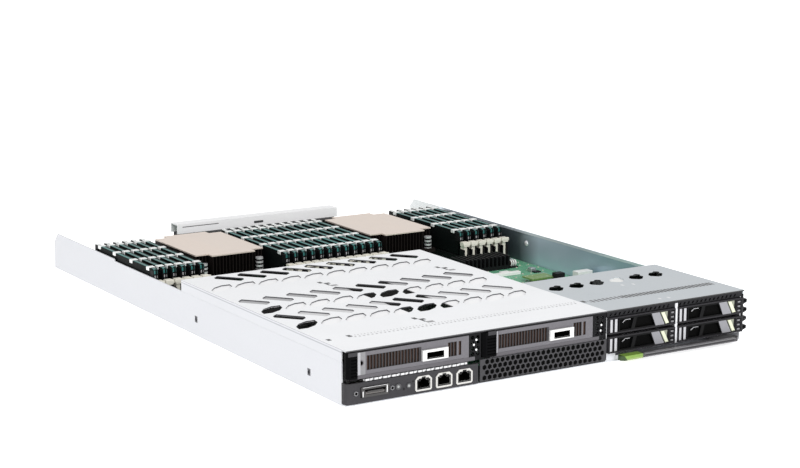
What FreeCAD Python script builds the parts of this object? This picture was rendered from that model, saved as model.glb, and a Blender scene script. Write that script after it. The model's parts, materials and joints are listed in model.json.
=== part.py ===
import FreeCAD, Part
import math
import operator
import os
from types import SimpleNamespace

import Sketcher

Vector = FreeCAD.Vector

# Driving dimensions in millimetres.
SIZES = {
    # Sheet metal, boards and gaps
    "tray_sheet": 1.2,
    "cover_sheet": 1.0,
    "cage_sheet": 0.8,
    "liner_sheet": 0.6,
    "panel_sheet": 2.0,
    "board_thickness": 1.8,
    "io_board_thickness": 1.6,
    "card_thickness": 1.6,
    "small_gap": 0.1,
    "running_gap": 0.3,
    "bore_gap": 0.05,
    # Sections across the width and along the depth
    "connector_section": 126.0,
    "slot_section": 131.0,
    "divider_thickness": 2.8,
    "wall_gap": 1.2,
    "cover_depth": 300.0,
    "right_cover_depth": 126.0,
    "memory_gap": 65.0,
    "rear_room": 111.65,
    # Tray
    "base_rear_setback": 20.0,
    "foot_width": 9.0,
    "wall_step": 2.0,
    "wall_step_length": 156.0,
    "left_corner": 10.0,
    "right_corner": 8.0,
    "right_wall_short": 48.0,
    "right_wall_setback": 1.0,
    "wall_notch": 18.0,
    "rear_lip": 8.8,
    "guide_height": 15.3,
    "guide_front": 60.4,
    "guide_spacing": 209.6,
    "guide_radius": 1.8,
    # Covers
    "left_flange": 9.4,
    "right_flange": 2.7,
    "inner_flange": 6.0,
    "hole_first": 16.2,
    "hole_pitch": 23.5,
    "back_slots": 18.0,
    "back_leaves": 50.6,
    "middle_slots": 113.0,
    "middle_leaves": 145.6,
    "front_slots": 177.0,
    "front_leaves": 207.5,
    "slot_length": 28.5,
    "slot_width": 11.5,
    "leaf_length": 34.0,
    "leaf_width": 15.0,
    "lobed_pitch": 22.6,
    "lobed_first": 14.0,
    "lobed_setback": 33.0,
    "lobed_length": 21.0,
    "lobed_width": 12.5,
    "liner_margin": 3.0,
    "liner_rear": 33.0,
    # Connector panel
    "io_standoff": 1.1,
    "panel_lift": 0.6,
    "panel_margin": 2.6,
    "panel_return": 7.5,
    "panel_end_gap": 1.4,
    "panel_corner": 5.0,
    "jack_width": 15.7,
    "jack_height": 12.3,
    "jack_depth": 21.0,
    "jack_corner": 2.8,
    "jack_proud": 0.6,
    "jack_first": 71.6,
    "jack_pitch": 19.7,
    "jack_mouth_width": 11.0,
    "jack_mouth_height": 5.8,
    "jack_mouth_lift": 2.6,
    "jack_mouth_depth": 14.0,
    "video_centre": 26.15,
    "video_width": 26.3,
    "video_height": 8.3,
    "video_lift": 2.6,
    "video_proud": 1.0,
    "video_mouth_width": 19.8,
    "video_mouth_height": 4.4,
    "power_place": 47.7,
    "power_lift": 6.8,
    "power_radius": 2.6,
    "id_place": 57.6,
    "id_lift": 6.2,
    "id_radius": 2.1,
    "button_travel": 1.0,
    "button_proud": 0.8,
    "button_collar": 0.8,
    "io_board_depth": 42.0,
    # Card slots
    "finger_band": 2.9,
    "frame_setback": 1.0,
    "frame_depth": 11.0,
    "frame_sill": 3.1,
    "frame_head": 1.8,
    "bracket_height": 18.4,
    "bracket_sheet": 1.0,
    "ear_left_start": 10.8,
    "ear_right_start": 16.6,
    "ear_hole_place": 14.4,
    "ear_hole_radius": 1.7,
    "bracket_end": 116.2,
    "pillar_width": 11.5,
    "vent_start": 19.8,
    "vent_width": 1.9,
    "vent_pitch": 2.9,
    "vent_margin": 3.4,
    "bracket_slot_place": 106.2,
    "bracket_slot_width": 2.5,
    "port_place": 70.7,
    "port_width": 24.4,
    "port_height": 8.8,
    "port_depth": 28.0,
    "port_proud": 0.8,
    "port_mouth_width": 16.4,
    "port_mouth_height": 4.8,
    "card_length": 168.0,
    "riser_place": 113.0,
    "riser_top": 34.0,
    "riser_front": 26.0,
    "riser_length": 86.0,
    "riser_socket_width": 6.4,
    "riser_socket_height": 7.6,
    "latch_pivot_setback": 2.6,
    "latch_pin_radius": 1.0,
    "latch_reach": 3.8,
    "latch_back": 2.8,
    "left_latch_pivot": 3.2,
    "left_latch_width": 6.6,
    "right_latch_pivot": 6.0,
    "right_latch_width": 10.0,
    "grille_thickness": 1.0,
    "grille_lift": 1.8,
    "hexagon_pitch": 5.15,
    "hexagon_radius": 2.3,
    # Drives
    "cage_front": 1.8,
    "carrier_width": 72.5,
    "carrier_height": 14.4,
    "carrier_length": 112.0,
    "bezel_proud": 1.2,
    "bezel_depth": 8.2,
    "rail_thickness": 1.2,
    "pocket_side": 9.3,
    "pocket_depth": 6.2,
    "pocket_edge": 1.3,
    "vent_column": 6.3,
    "drive_width": 69.85,
    "drive_length": 100.0,
    "drive_height": 9.5,
    "drive_setback": 8.0,
    "drive_lift": 1.5,
    "handle_thickness": 4.2,
    "handle_pin_place": 3.3,
    "handle_pin_radius": 1.0,
    "handle_slant": 5.8,
    "handle_recess": 2.6,
    "release_width": 4.2,
    "release_gap": 1.2,
    "shelf_gap": 1.3,
    "grille_height": 5.3,
    "grille_bridge": 1.2,
    "lattice_pitch": 4.8,
    "backplane_thickness": 1.6,
    "backplane_socket": 10.7,
    # Ejector lever
    "washer_height": 2.0,
    "lever_gap": 0.2,
    "lever_thickness": 3.6,
    "lever_width": 8.0,
    "lever_reach": 11.0,
    "lever_left": 30.5,
    "lever_pivot_side": 28.0,
    "lever_pivot_setback": 6.0,
    "lever_pin_radius": 2.0,
    "lever_tail": 16.0,
    "lever_boss": 8.0,
    "grip_length": 22.5,
    "grip_margin": 0.2,
    "tongue_length": 11.0,
    "tongue_width": 3.2,
    # Contact strips
    "finger_reach": 6.0,
    "finger_pitch": 8.0,
    "finger_sheet": 0.5,
    "finger_length": 8.0,
    "side_strip_low": 7.6,
    "front_strip_start": 16.5,
    "front_strip_length": 98.0,
    "front_finger_pitch": 8.2,
    "front_finger_width": 6.4,
    # Main board and what stands on it
    "standoff_height": 7.4,
    "standoff_radius": 2.5,
    "board_gap": 1.0,
    "board_front_gap": 5.4,
    "tongue_front_gap": 3.6,
    "board_rear_margin": 54.0,
    "module_length": 133.35,
    "module_height": 30.2,
    "module_thickness": 1.3,
    "module_seat": 2.2,
    "spreader_thickness": 5.2,
    "module_pitch": 9.6,
    "socket_width": 6.6,
    "socket_height": 7.5,
    "socket_wall_gap": 0.5,
    "tower_height": 15.0,
    "tower_start": 0.6,
    "tower_length": 8.4,
    "tower_slot": 4.4,
    "latch_stem": 4.0,
    "latch_bar": 6.8,
    "latch_pivot_out": 4.5,
    "latch_pivot_lift": 5.0,
    "right_bank_gap": 11.3,
    "middle_bank_gap": 3.1,
    "sink_gap": 9.0,
    "sink_width": 74.0,
    "sink_length": 112.0,
    "sink_setback": 32.0,
    "sink_notch_width": 13.5,
    "sink_notch_length": 9.0,
    "sink_base": 4.0,
    "sink_fins": 19.0,
    "sink_plate": 1.2,
    "fin_pitch": 3.6,
    "fin_thickness": 0.8,
    "sink_screw_side": 6.5,
    "sink_screw_end": 4.5,
    "screw_radius": 1.8,
    "screw_head": 10.0,
    "socket_frame_height": 4.0,
    "socket_frame_width": 58.0,
    "socket_frame_length": 76.0,
    "socket_recess": 1.6,
    "processor_width": 45.0,
    "processor_length": 52.5,
    "processor_height": 3.6,
    "chipset_side": 34.0,
    "chipset_width": 56.0,
    "chipset_length": 25.0,
    "chipset_setback": 24.0,
    "chipset_fins": 9.6,
    "chipset_base": 4.0,
    "chipset_fin": 1.8,
    "chipset_fin_pitch": 4.9,
    "mezzanine_side": 30.0,
    "mezzanine_width": 27.0,
    "mezzanine_length": 18.0,
    "mezzanine_setback": 103.0,
    "mezzanine_lift": 3.6,
    "connector_width": 58.0,
    "connector_length": 28.0,
    "connector_height": 25.5,
    "connector_pitch": 63.0,
    "connector_rear": 52.0,
    "bridge_width": 192.0,
    "bridge_depth": 16.0,
    "bridge_height": 10.0,
}

# Angles of the holes in the left cover and of those in the right cover, in degrees.
SLOT_ANGLE = -50
LEAF_ANGLE = 39
LOBED_ANGLE = 48

doc = FreeCAD.newDocument("server_node")
dims = doc.addObject("Spreadsheet::Sheet", "dims")
sheet_names = []
nodes = []

ACTIONS = {
    "+": operator.add,
    "-": operator.sub,
    "*": operator.mul,
    "/": operator.truediv,
}


class Size:
    """A length: its value in millimetres and the sheet formula that gives it."""

    def __init__(self, value, formula):
        self.value = value
        self.formula = formula

    def __add__(self, other):
        return joined(self, "+", other)

    def __radd__(self, other):
        return joined(other, "+", self)

    def __sub__(self, other):
        return joined(self, "-", other)

    def __rsub__(self, other):
        return joined(other, "-", self)

    def __mul__(self, other):
        return joined(self, "*", other)

    def __rmul__(self, other):
        return joined(other, "*", self)

    def __truediv__(self, other):
        return joined(self, "/", other)

    def __neg__(self):
        return joined(0, "-", self)


class Ring:
    """A circle in a sketch."""

    def __init__(self, u, v, radius):
        self.u = u
        self.v = v
        self.radius = radius


def as_size(number):
    if isinstance(number, Size):
        return number
    return Size(float(number), f"({float(number)!r})")


def joined(first, sign, second):
    first = as_size(first)
    second = as_size(second)
    value = ACTIONS[sign](first.value, second.value)
    return Size(value, f"({first.formula} {sign} {second.formula})")


def larger(first, second):
    return Size(max(first.value, second.value), f"max({first.formula}; {second.formula})")


def whole(size):
    """The whole number of times that a pitch fits."""
    return Size(math.floor(size.value + 0.001), f"floor({size.formula} + 0.001)")


def sheet_row(name, text):
    sheet_names.append(name)
    row = len(sheet_names)
    dims.set(f"A{row}", name)
    dims.set(f"B{row}", text)
    dims.setAlias(f"B{row}", name)


def named(name, size):
    """A worked-out size with a row of its own in the sheet."""
    sheet_row(name, "=" + size.formula.replace("dims.", ""))
    return Size(size.value, f"dims.{name}")


def tie(thing, path, size):
    thing.setExpression(path, as_size(size).formula)


def fix(sketch, kind, geometry, point, length):
    length = as_size(length)
    rule = Sketcher.Constraint(kind, -1, 1, geometry, point, length.value)
    tie(sketch, f"Constraints[{sketch.addConstraint(rule)}]", length)


def draw_corners(sketch, corners):
    """A closed outline with every corner fixed from the sketch origin."""
    count = len(corners)
    points = [Vector(as_size(u).value, as_size(v).value, 0) for u, v in corners]
    first = sketch.GeometryCount
    lines = [Part.LineSegment(points[k], points[(k + 1) % count]) for k in range(count)]
    sketch.addGeometry(lines, False)
    sketch.addConstraint(
        [Sketcher.Constraint("Coincident", first + k, 2, first + (k + 1) % count, 1) for k in range(count)]
    )
    for k, (u, v) in enumerate(corners):
        fix(sketch, "DistanceX", first + k, 1, u)
        fix(sketch, "DistanceY", first + k, 1, v)


def draw_ring(sketch, ring):
    centre = Vector(as_size(ring.u).value, as_size(ring.v).value, 0)
    radius = as_size(ring.radius)
    number = sketch.addGeometry(Part.Circle(centre, Vector(0, 0, 1), radius.value), False)
    fix(sketch, "DistanceX", number, 3, ring.u)
    fix(sketch, "DistanceY", number, 3, ring.v)
    rule = sketch.addConstraint(Sketcher.Constraint("Radius", number, radius.value))
    tie(sketch, f"Constraints[{rule}]", radius)


def rectangle(u_low, v_low, u_high, v_high):
    return [(u_low, v_low), (u_high, v_low), (u_high, v_high), (u_low, v_high)]


def turned(centre, angle, corners):
    """Corners given about a centre, turned by an angle in degrees."""
    cosine = math.cos(math.radians(angle))
    sine = math.sin(math.radians(angle))
    return [(centre[0] + u * cosine - v * sine, centre[1] + u * sine + v * cosine) for u, v in corners]


def slot_outline(length, width):
    """A straight slot with one cut corner at each end."""
    far = length / 2
    wide = width / 2
    near = far - wide / 2
    return [(far, -wide), (far, wide * 0.3), (near, wide), (-far, wide), (-far, wide * -0.3), (-near, -wide)]


def leaf_outline(length, width):
    """A pointed oval."""
    far = length / 2
    wide = width / 2
    return [
        (far, 0 * far), (far * 0.62, wide * 0.72), (0 * far, wide), (far * -0.62, wide * 0.72),
        (-far, 0 * far), (far * -0.62, wide * -0.72), (0 * far, -wide), (far * 0.62, wide * -0.72),
    ]


def polygon(u, v, radius, count, start):
    """A regular polygon."""
    angles = [math.radians(start + 360 * k / count) for k in range(count)]
    return [(u + radius * math.cos(a), v + radius * math.sin(a)) for a in angles]


def pin_seat(u, v, radius):
    """An eight-sided hole whose flats lie at the given radius."""
    return polygon(u, v, radius / math.cos(math.pi / 8), 8, 22.5)


def lobed_outline(length, width):
    """A hole with cut corners and a narrow lobe at its far end."""
    far = length / 2
    wide = width / 2
    half = [
        (-far, wide * 0.6), (far * -0.7, wide), (far * 0.3, wide), (far * 0.5, wide * 0.5),
        (far * 0.9, wide * 0.45), (far, wide * 0.25),
    ]
    return half + [(u, -v) for u, v in reversed(half)]


class Piece:
    """A solid built from sketches on its own origin planes."""

    def __init__(self, name):
        self.body = doc.addObject("PartDesign::Body", name)
        self.origin = {item.Role: item for item in self.body.Origin.OriginFeatures}

    def sketch(self, plane, level, outlines):
        sketch = self.body.newObject("Sketcher::SketchObject", "outline")
        sketch.AttachmentSupport = [(self.origin[plane + "_Plane"], "")]
        sketch.MapMode = "FlatFace"
        tie(sketch, "AttachmentOffset.Base.z", -as_size(level) if plane == "XZ" else level)
        for outline in outlines:
            if isinstance(outline, Ring):
                draw_ring(sketch, outline)
            else:
                draw_corners(sketch, outline)
        return sketch

    def pad(self, plane, level, depth, *outlines):
        """Material from a level along the positive axis."""
        profile = self.sketch(plane, level, outlines)
        feature = self.body.newObject("PartDesign::Pad", "pad")
        feature.Profile = profile
        feature.Reversed = plane == "XZ"
        tie(feature, "Length", depth)
        return feature

    def cut(self, plane, level, depth, *outlines):
        """Removes material from a level along the positive axis."""
        profile = self.sketch(plane, level, outlines)
        feature = self.body.newObject("PartDesign::Pocket", "pocket")
        feature.Profile = profile
        feature.Reversed = plane != "XZ"
        tie(feature, "Length", depth)
        return feature

    def repeat(self, feature, axis, count, spacing):
        """Repeats a feature along an axis."""
        pattern = self.body.newObject("PartDesign::LinearPattern", "row")
        pattern.Originals = [feature]
        pattern.Direction = (self.origin[axis + "_Axis"], [""])
        pattern.Mode = "Spacing"
        tie(pattern, "Offset", spacing)
        tie(pattern, "Occurrences", count)
        self.body.Tip = pattern
        return pattern

    def rounded(self, axis, radius, *corners):
        """Rounds the edges that run along an axis through the given corners."""
        doc.recompute()
        across = [k for k in range(3) if "XYZ"[k] != axis]
        tip = self.body.Tip
        wanted = [[as_size(length).value for length in corner] for corner in corners]
        edges = []
        for number, edge in enumerate(tip.Shape.Edges, 1):
            ends = [vertex.Point for vertex in edge.Vertexes]
            for corner in wanted:
                if all(abs(end[k] - place) < 0.0001 for end in ends for k, place in zip(across, corner)):
                    edges.append(f"Edge{number}")
        feature = self.body.newObject("PartDesign::Fillet", "rounding")
        feature.Base = (tip, edges)
        tie(feature, "Radius", radius)
        return feature

    def keep(self):
        nodes.append(self.body)


def place(thing, x, y, z):
    tie(thing, "Placement.Base.x", x)
    tie(thing, "Placement.Base.y", y)
    tie(thing, "Placement.Base.z", z)


def block(name, low, high):
    """A plain box between two corners."""
    solid = doc.addObject("Part::Box", name)
    for path, start, end in zip(("Length", "Width", "Height"), low, high):
        tie(solid, path, as_size(end) - start)
    place(solid, *low)
    return solid


def six_sided(name, radius, height):
    """An upright hexagonal bar."""
    solid = doc.addObject("Part::Prism", name)
    solid.Polygon = 6
    tie(solid, "Circumradius", radius)
    tie(solid, "Height", height)
    return solid


def copies(source, places):
    """Equal solids set down at every place."""
    links = []
    for spot in places:
        link = doc.addObject("App::Link", "copy")
        link.LinkedObject = source
        place(link, *spot)
        links.append(link)
    return links


def group(name, members):
    compound = doc.addObject("Part::Compound", name)
    compound.Links = members
    nodes.append(compound)


for name, value in SIZES.items():
    sheet_row(name, str(value))
size = SimpleNamespace(**{name: Size(value, f"dims.{name}") for name, value in SIZES.items()})

# Plan: the centre of the tray is at zero, the front faces -Y.
slot_room = size.connector_section + size.slot_section
bay_width = size.carrier_width + 2 * size.running_gap
bays_room = 2 * bay_width + size.divider_thickness + 2 * size.cage_sheet
tray_width = named("tray_width", slot_room + bays_room + size.wall_gap + size.tray_sheet)
tray_depth = named("tray_depth", size.cover_depth + size.memory_gap + size.module_length + size.rear_room)
left = named("left_side", -tray_width / 2)
right = named("right_side", tray_width / 2)
front = named("front_edge", -tray_depth / 2)
rear = named("rear_edge", tray_depth / 2)
wall_front = named("wall_front", front + size.panel_return + size.small_gap)
base_rear = named("base_rear", rear - size.base_rear_setback)
module_front = named("module_front", front + size.cover_depth + size.memory_gap)
module_rear = named("module_rear", module_front + size.module_length)
slots = [left, named("second_slot", left + size.connector_section)]
cage_left = named("cage_left", left + slot_room)
bay_lefts = [
    named("left_bay", cage_left + size.cage_sheet),
    named("right_bay", cage_left + size.cage_sheet + bay_width + size.divider_thickness),
]
cage_right = named("cage_right", bay_lefts[1] + bay_width)
backplane_front = named(
    "backplane_front",
    front + size.drive_setback + size.drive_length + size.running_gap + size.backplane_socket,
)
backplane_rear = named("backplane_rear", backplane_front + size.backplane_thickness)

# Levels above the underside of the tray.
base_top = size.tray_sheet
board_bottom = named("board_bottom", base_top + size.standoff_height)
board_top = named("board_top", board_bottom + size.board_thickness)
io_top = named("io_top", base_top + size.io_standoff + size.io_board_thickness)
panel_bottom = named("panel_bottom", base_top + size.panel_lift)
panel_top = named("panel_top", io_top + size.jack_height + size.panel_margin)
frame_bottom = named("frame_bottom", panel_top + size.finger_band)
bracket_bottom = named("bracket_bottom", frame_bottom + size.frame_sill)
bracket_top = named("bracket_top", bracket_bottom + size.bracket_height)
frame_top = named("frame_top", bracket_top + size.frame_head)
card_bottom = named("card_bottom", bracket_bottom + size.bracket_height / 2 - size.port_height / 2 - 3.0)
card_top = named("card_top", card_bottom + size.card_thickness)
lever_bottom = named("lever_bottom", base_top + size.washer_height + size.lever_gap)
lever_top = named("lever_top", lever_bottom + size.lever_thickness)
floor_bottom = named("floor_bottom", lever_top + 2 * size.lever_gap)
floor_top = named("floor_top", floor_bottom + size.cage_sheet)
lower_row = named("lower_row", floor_top + size.running_gap)
shelf_bottom = named("shelf_bottom", lower_row + size.carrier_height + size.shelf_gap)
upper_row = named("upper_row", shelf_bottom + size.cage_sheet + size.running_gap)
cage_top = named("cage_top", upper_row + size.carrier_height + size.grille_height)
cover_bottom = named("cover_bottom", larger(frame_top, cage_top) + size.small_gap)
left_wall_top = named("left_wall_top", cover_bottom - size.left_flange - size.small_gap)
right_wall_top = named("right_wall_top", cover_bottom - size.right_flange - size.small_gap)


def build_tray():
    plate = Piece("base_plate")
    plate.pad(
        "XY", 0, size.tray_sheet,
        rectangle(left + size.tray_sheet, front + size.panel_sheet + 2 * size.small_gap,
                  right - size.tray_sheet, base_rear),
    )
    plate.keep()

    foot_rear = base_rear - size.tray_sheet - size.small_gap
    wall = Piece("left_wall")
    wall.pad(
        "YZ", left, size.tray_sheet,
        [
            (wall_front, 0), (rear, 0), (rear, left_wall_top + size.wall_step - size.left_corner),
            (rear - size.left_corner, left_wall_top + size.wall_step),
            (rear - size.wall_step_length, left_wall_top + size.wall_step),
            (rear - size.wall_step_length - size.wall_step, left_wall_top),
            (wall_front, left_wall_top),
        ],
    )
    wall.pad(
        "YZ", left + size.tray_sheet, size.foot_width,
        rectangle(wall_front, base_top, foot_rear, base_top + size.tray_sheet),
    )
    wall.cut(
        "YZ", left, size.tray_sheet,
        Ring(front + size.guide_front, size.guide_height, size.guide_radius),
        Ring(front + size.guide_front + size.guide_spacing, size.guide_height, size.guide_radius),
    )
    wall.keep()

    wall = Piece("right_wall")
    wall_rear = rear - size.right_wall_short
    near_end = front + size.right_wall_setback
    wall.pad(
        "YZ", right - size.tray_sheet, size.tray_sheet,
        [
            (near_end + size.wall_notch, 0), (wall_rear, 0),
            (wall_rear, right_wall_top - size.right_corner),
            (wall_rear - size.right_corner, right_wall_top),
            (near_end, right_wall_top), (near_end, size.side_strip_low),
            (near_end + size.wall_notch, size.side_strip_low),
        ],
    )
    wall.pad(
        "YZ", right - size.tray_sheet - size.foot_width, size.foot_width,
        rectangle(backplane_rear, base_top, wall_rear, base_top + size.tray_sheet),
    )
    wall.keep()

    nodes.append(block(
        "rear_panel",
        (left + size.tray_sheet, base_rear - size.tray_sheet, base_top),
        (right - size.tray_sheet, base_rear, base_top + size.rear_lip),
    ))


def build_left_cover():
    cover_right = cage_left - size.small_gap
    cover_rear = front + size.cover_depth
    cover = Piece("left_cover")
    cover.pad("XY", cover_bottom, size.cover_sheet, rectangle(left, front, cover_right, cover_rear))
    cover.pad(
        "YZ", left, size.cover_sheet,
        rectangle(wall_front, left_wall_top + size.small_gap, cover_rear, cover_bottom),
    )
    cover.pad(
        "YZ", cover_right - size.cover_sheet - size.small_gap, size.cover_sheet,
        rectangle(front + size.frame_setback + size.frame_depth + 2.0, cover_bottom - size.inner_flange,
                  cover_rear, cover_bottom),
    )
    columns = whole((slot_room - size.hole_first - size.leaf_length / 2) / size.hole_pitch) + 1
    first = left + size.hole_first
    slot = slot_outline(size.slot_length, size.slot_width)
    leaf = leaf_outline(size.leaf_length, size.leaf_width)
    slot_rows = (size.middle_slots, size.front_slots)
    leaf_rows = (size.back_leaves, size.middle_leaves, size.front_leaves)
    slots_cut = cover.cut(
        "XY", cover_bottom, size.cover_sheet,
        *[turned((first, cover_rear - step), SLOT_ANGLE, slot) for step in slot_rows],
    )
    cover.repeat(slots_cut, "X", columns, size.hole_pitch)
    back_row = cover.cut(
        "XY", cover_bottom, size.cover_sheet,
        turned((first + size.hole_pitch, cover_rear - size.back_slots), SLOT_ANGLE, slot),
    )
    cover.repeat(back_row, "X", columns - 1, size.hole_pitch)
    leaves = cover.cut(
        "XY", cover_bottom, size.cover_sheet,
        *[turned((first, cover_rear - step), LEAF_ANGLE, leaf) for step in leaf_rows],
    )
    cover.repeat(leaves, "X", columns, size.hole_pitch)
    cover.keep()

    # White sheet under the cover, cut out below some of the holes.
    liner = Piece("cover_liner")
    liner.pad(
        "XY", cover_bottom - size.liner_sheet, size.liner_sheet,
        rectangle(left + size.liner_margin, front + size.frame_setback + size.frame_depth + 2.0,
                  cover_right - size.liner_margin, cover_rear - size.liner_rear),
    )
    wide_slot = slot_outline(size.slot_length + 2.0, size.slot_width + 2.0)
    wide_leaf = leaf_outline(size.leaf_length + 2.0, size.leaf_width + 2.0)
    windows = [(size.front_slots, SLOT_ANGLE, wide_slot)]
    windows += [(step, LEAF_ANGLE, wide_leaf) for step in leaf_rows[1:]]
    for step, angle, outline in windows:
        liner.cut(
            "XY", cover_bottom - size.liner_sheet, size.liner_sheet,
            turned((first, cover_rear - step), angle, outline),
        )
    liner.cut(
        "XY", cover_bottom - size.liner_sheet, size.liner_sheet,
        rectangle(first + 4.1 * size.hole_pitch, cover_rear - size.front_leaves - size.leaf_width,
                  first + 6.0 * size.hole_pitch, cover_rear - size.middle_slots + size.leaf_width),
    )
    liner.keep()


def build_right_cover():
    cover_rear = front + size.right_cover_depth
    cover = Piece("right_cover")
    cover.pad("XY", cover_bottom, size.cover_sheet, rectangle(cage_left, front, right, cover_rear))
    cover.pad(
        "YZ", right - size.cover_sheet, size.cover_sheet,
        rectangle(front + size.right_wall_setback, right_wall_top + size.small_gap, cover_rear, cover_bottom),
    )
    count = whole((right - cage_left - 2 * size.lobed_first) / size.lobed_pitch) + 1
    hole = cover.cut(
        "XY", cover_bottom, size.cover_sheet,
        turned((cage_left + size.lobed_first, cover_rear - size.lobed_setback), LOBED_ANGLE,
               lobed_outline(size.lobed_length, size.lobed_width)),
    )
    cover.repeat(hole, "X", count, size.lobed_pitch)
    cover.keep()


def jack_outline(centre, margin):
    """The front of a network jack, with cut corners."""
    half = size.jack_width / 2 + margin
    low = io_top - margin
    high = io_top + size.jack_height + margin
    top = size.jack_corner
    foot = size.jack_corner * 0.4
    return [
        (centre - half, low + foot), (centre - half + foot, low), (centre + half - foot, low),
        (centre + half, low + foot), (centre + half, high - top), (centre + half - top, high),
        (centre - half + top, high), (centre - half, high - top),
    ]


def build_connector_panel():
    jacks = [left + size.jack_first + k * size.jack_pitch for k in range(3)]
    gap = size.small_gap
    panel_right = left + size.connector_section - size.panel_end_gap
    video_low = io_top + size.video_lift
    video_left = left + size.video_centre - size.video_width / 2
    video_right = left + size.video_centre + size.video_width / 2
    panel = Piece("connector_panel")
    inner = front + size.panel_sheet
    panel.pad(
        "XY", panel_bottom, panel_top - panel_bottom,
        [
            (left, front + size.panel_return), (left, front), (panel_right, front), (panel_right, inner),
            (left + size.panel_sheet, inner), (left + size.panel_sheet, front + size.panel_return),
        ],
    )
    panel.rounded("Z", size.panel_corner, (left, front))
    panel.rounded("Z", size.panel_corner - size.panel_sheet, (left + size.panel_sheet, inner))
    openings = [jack_outline(centre, gap) for centre in jacks]
    openings.append(rectangle(video_left - gap, video_low - gap,
                              video_right + gap, video_low + size.video_height + gap))
    openings.append(Ring(left + size.power_place, io_top + size.power_lift, size.power_radius + size.bore_gap))
    openings.append(Ring(left + size.id_place, io_top + size.id_lift, size.id_radius + size.bore_gap))
    panel.cut("XZ", front, size.panel_sheet, *openings)
    panel.keep()

    jack = Piece("jack")
    start = front - size.jack_proud
    jack.pad("XZ", start, size.jack_depth, jack_outline(0, 0 * gap))
    wide = size.jack_mouth_width / 2
    low = io_top + size.jack_mouth_lift
    high = low + size.jack_mouth_height
    jack.cut(
        "XZ", start, size.jack_mouth_depth,
        [
            (-wide, low), (wide, low), (wide, high), (wide * 0.55, high), (wide * 0.55, high + 1.1),
            (wide * 0.32, high + 1.1), (wide * 0.32, high + 2.2), (wide * -0.32, high + 2.2),
            (wide * -0.32, high + 1.1), (wide * -0.55, high + 1.1), (wide * -0.55, high), (-wide, high),
        ],
    )
    group("rj45_jacks", copies(jack.body, [(centre, 0, 0) for centre in jacks]))

    # Video port: a shell narrower below, a tongue inside and a block on the board.
    video = Piece("video_port")
    centre = left + size.video_centre
    slant = size.video_height / 8
    video.pad(
        "XZ", front - size.video_proud, size.panel_sheet + size.video_proud + size.small_gap,
        [
            (video_left + slant, video_low), (video_right - slant, video_low),
            (video_right, video_low + size.video_height), (video_left, video_low + size.video_height),
        ],
    )
    video.pad(
        "XZ", inner + size.small_gap, 12.0,
        rectangle(video_left - 2.0, io_top, video_right + 2.0, video_low + size.video_height + 1.0),
    )
    mouth = size.video_mouth_width / 2
    mouth_low = video_low + (size.video_height - size.video_mouth_height) / 2
    mouth_high = mouth_low + size.video_mouth_height
    middle = (mouth_low + mouth_high) / 2
    video.cut(
        "XZ", front - size.video_proud, 6.0,
        [
            (centre - mouth + slant, mouth_low), (centre + mouth - slant, mouth_low),
            (centre + mouth, mouth_high), (centre - mouth, mouth_high),
        ],
        rectangle(centre - mouth * 0.72, middle - 0.7, centre + mouth * 0.72, middle + 0.7),
    )
    video.keep()

    board = Piece("io_board")
    board_front = inner + 2 * size.small_gap
    foot_end = left + size.tray_sheet + size.foot_width
    board.pad(
        "XY", io_top - size.io_board_thickness, size.io_board_thickness,
        rectangle(foot_end + size.running_gap, board_front,
                  panel_right - 1.6, board_front + size.io_board_depth),
    )
    switch_front = inner + size.small_gap + 1.0 + size.button_travel + 2 * size.small_gap
    for across, lift in ((size.power_place, size.power_lift), (size.id_place, size.id_lift)):
        board.pad(
            "XZ", switch_front, 5.0,
            rectangle(left + across - 2.4, io_top, left + across + 2.4, io_top + lift + 2.4),
        )
    board.keep()

    buttons = (
        ("power_button", size.power_place, size.power_lift, size.power_radius),
        ("id_button", size.id_place, size.id_lift, size.id_radius),
    )
    for name, across, lift, radius in buttons:
        button = Piece(name)
        cap = size.button_proud + size.panel_sheet + size.small_gap
        button.pad("XZ", front - size.button_proud, cap, Ring(left + across, io_top + lift, radius))
        flange = radius + size.button_collar
        button.pad(
            "XZ", inner + size.small_gap, 1.0,
            rectangle(left + across - flange, io_top + lift - flange,
                      left + across + flange, io_top + lift + flange),
        )
        button.keep()


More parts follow.
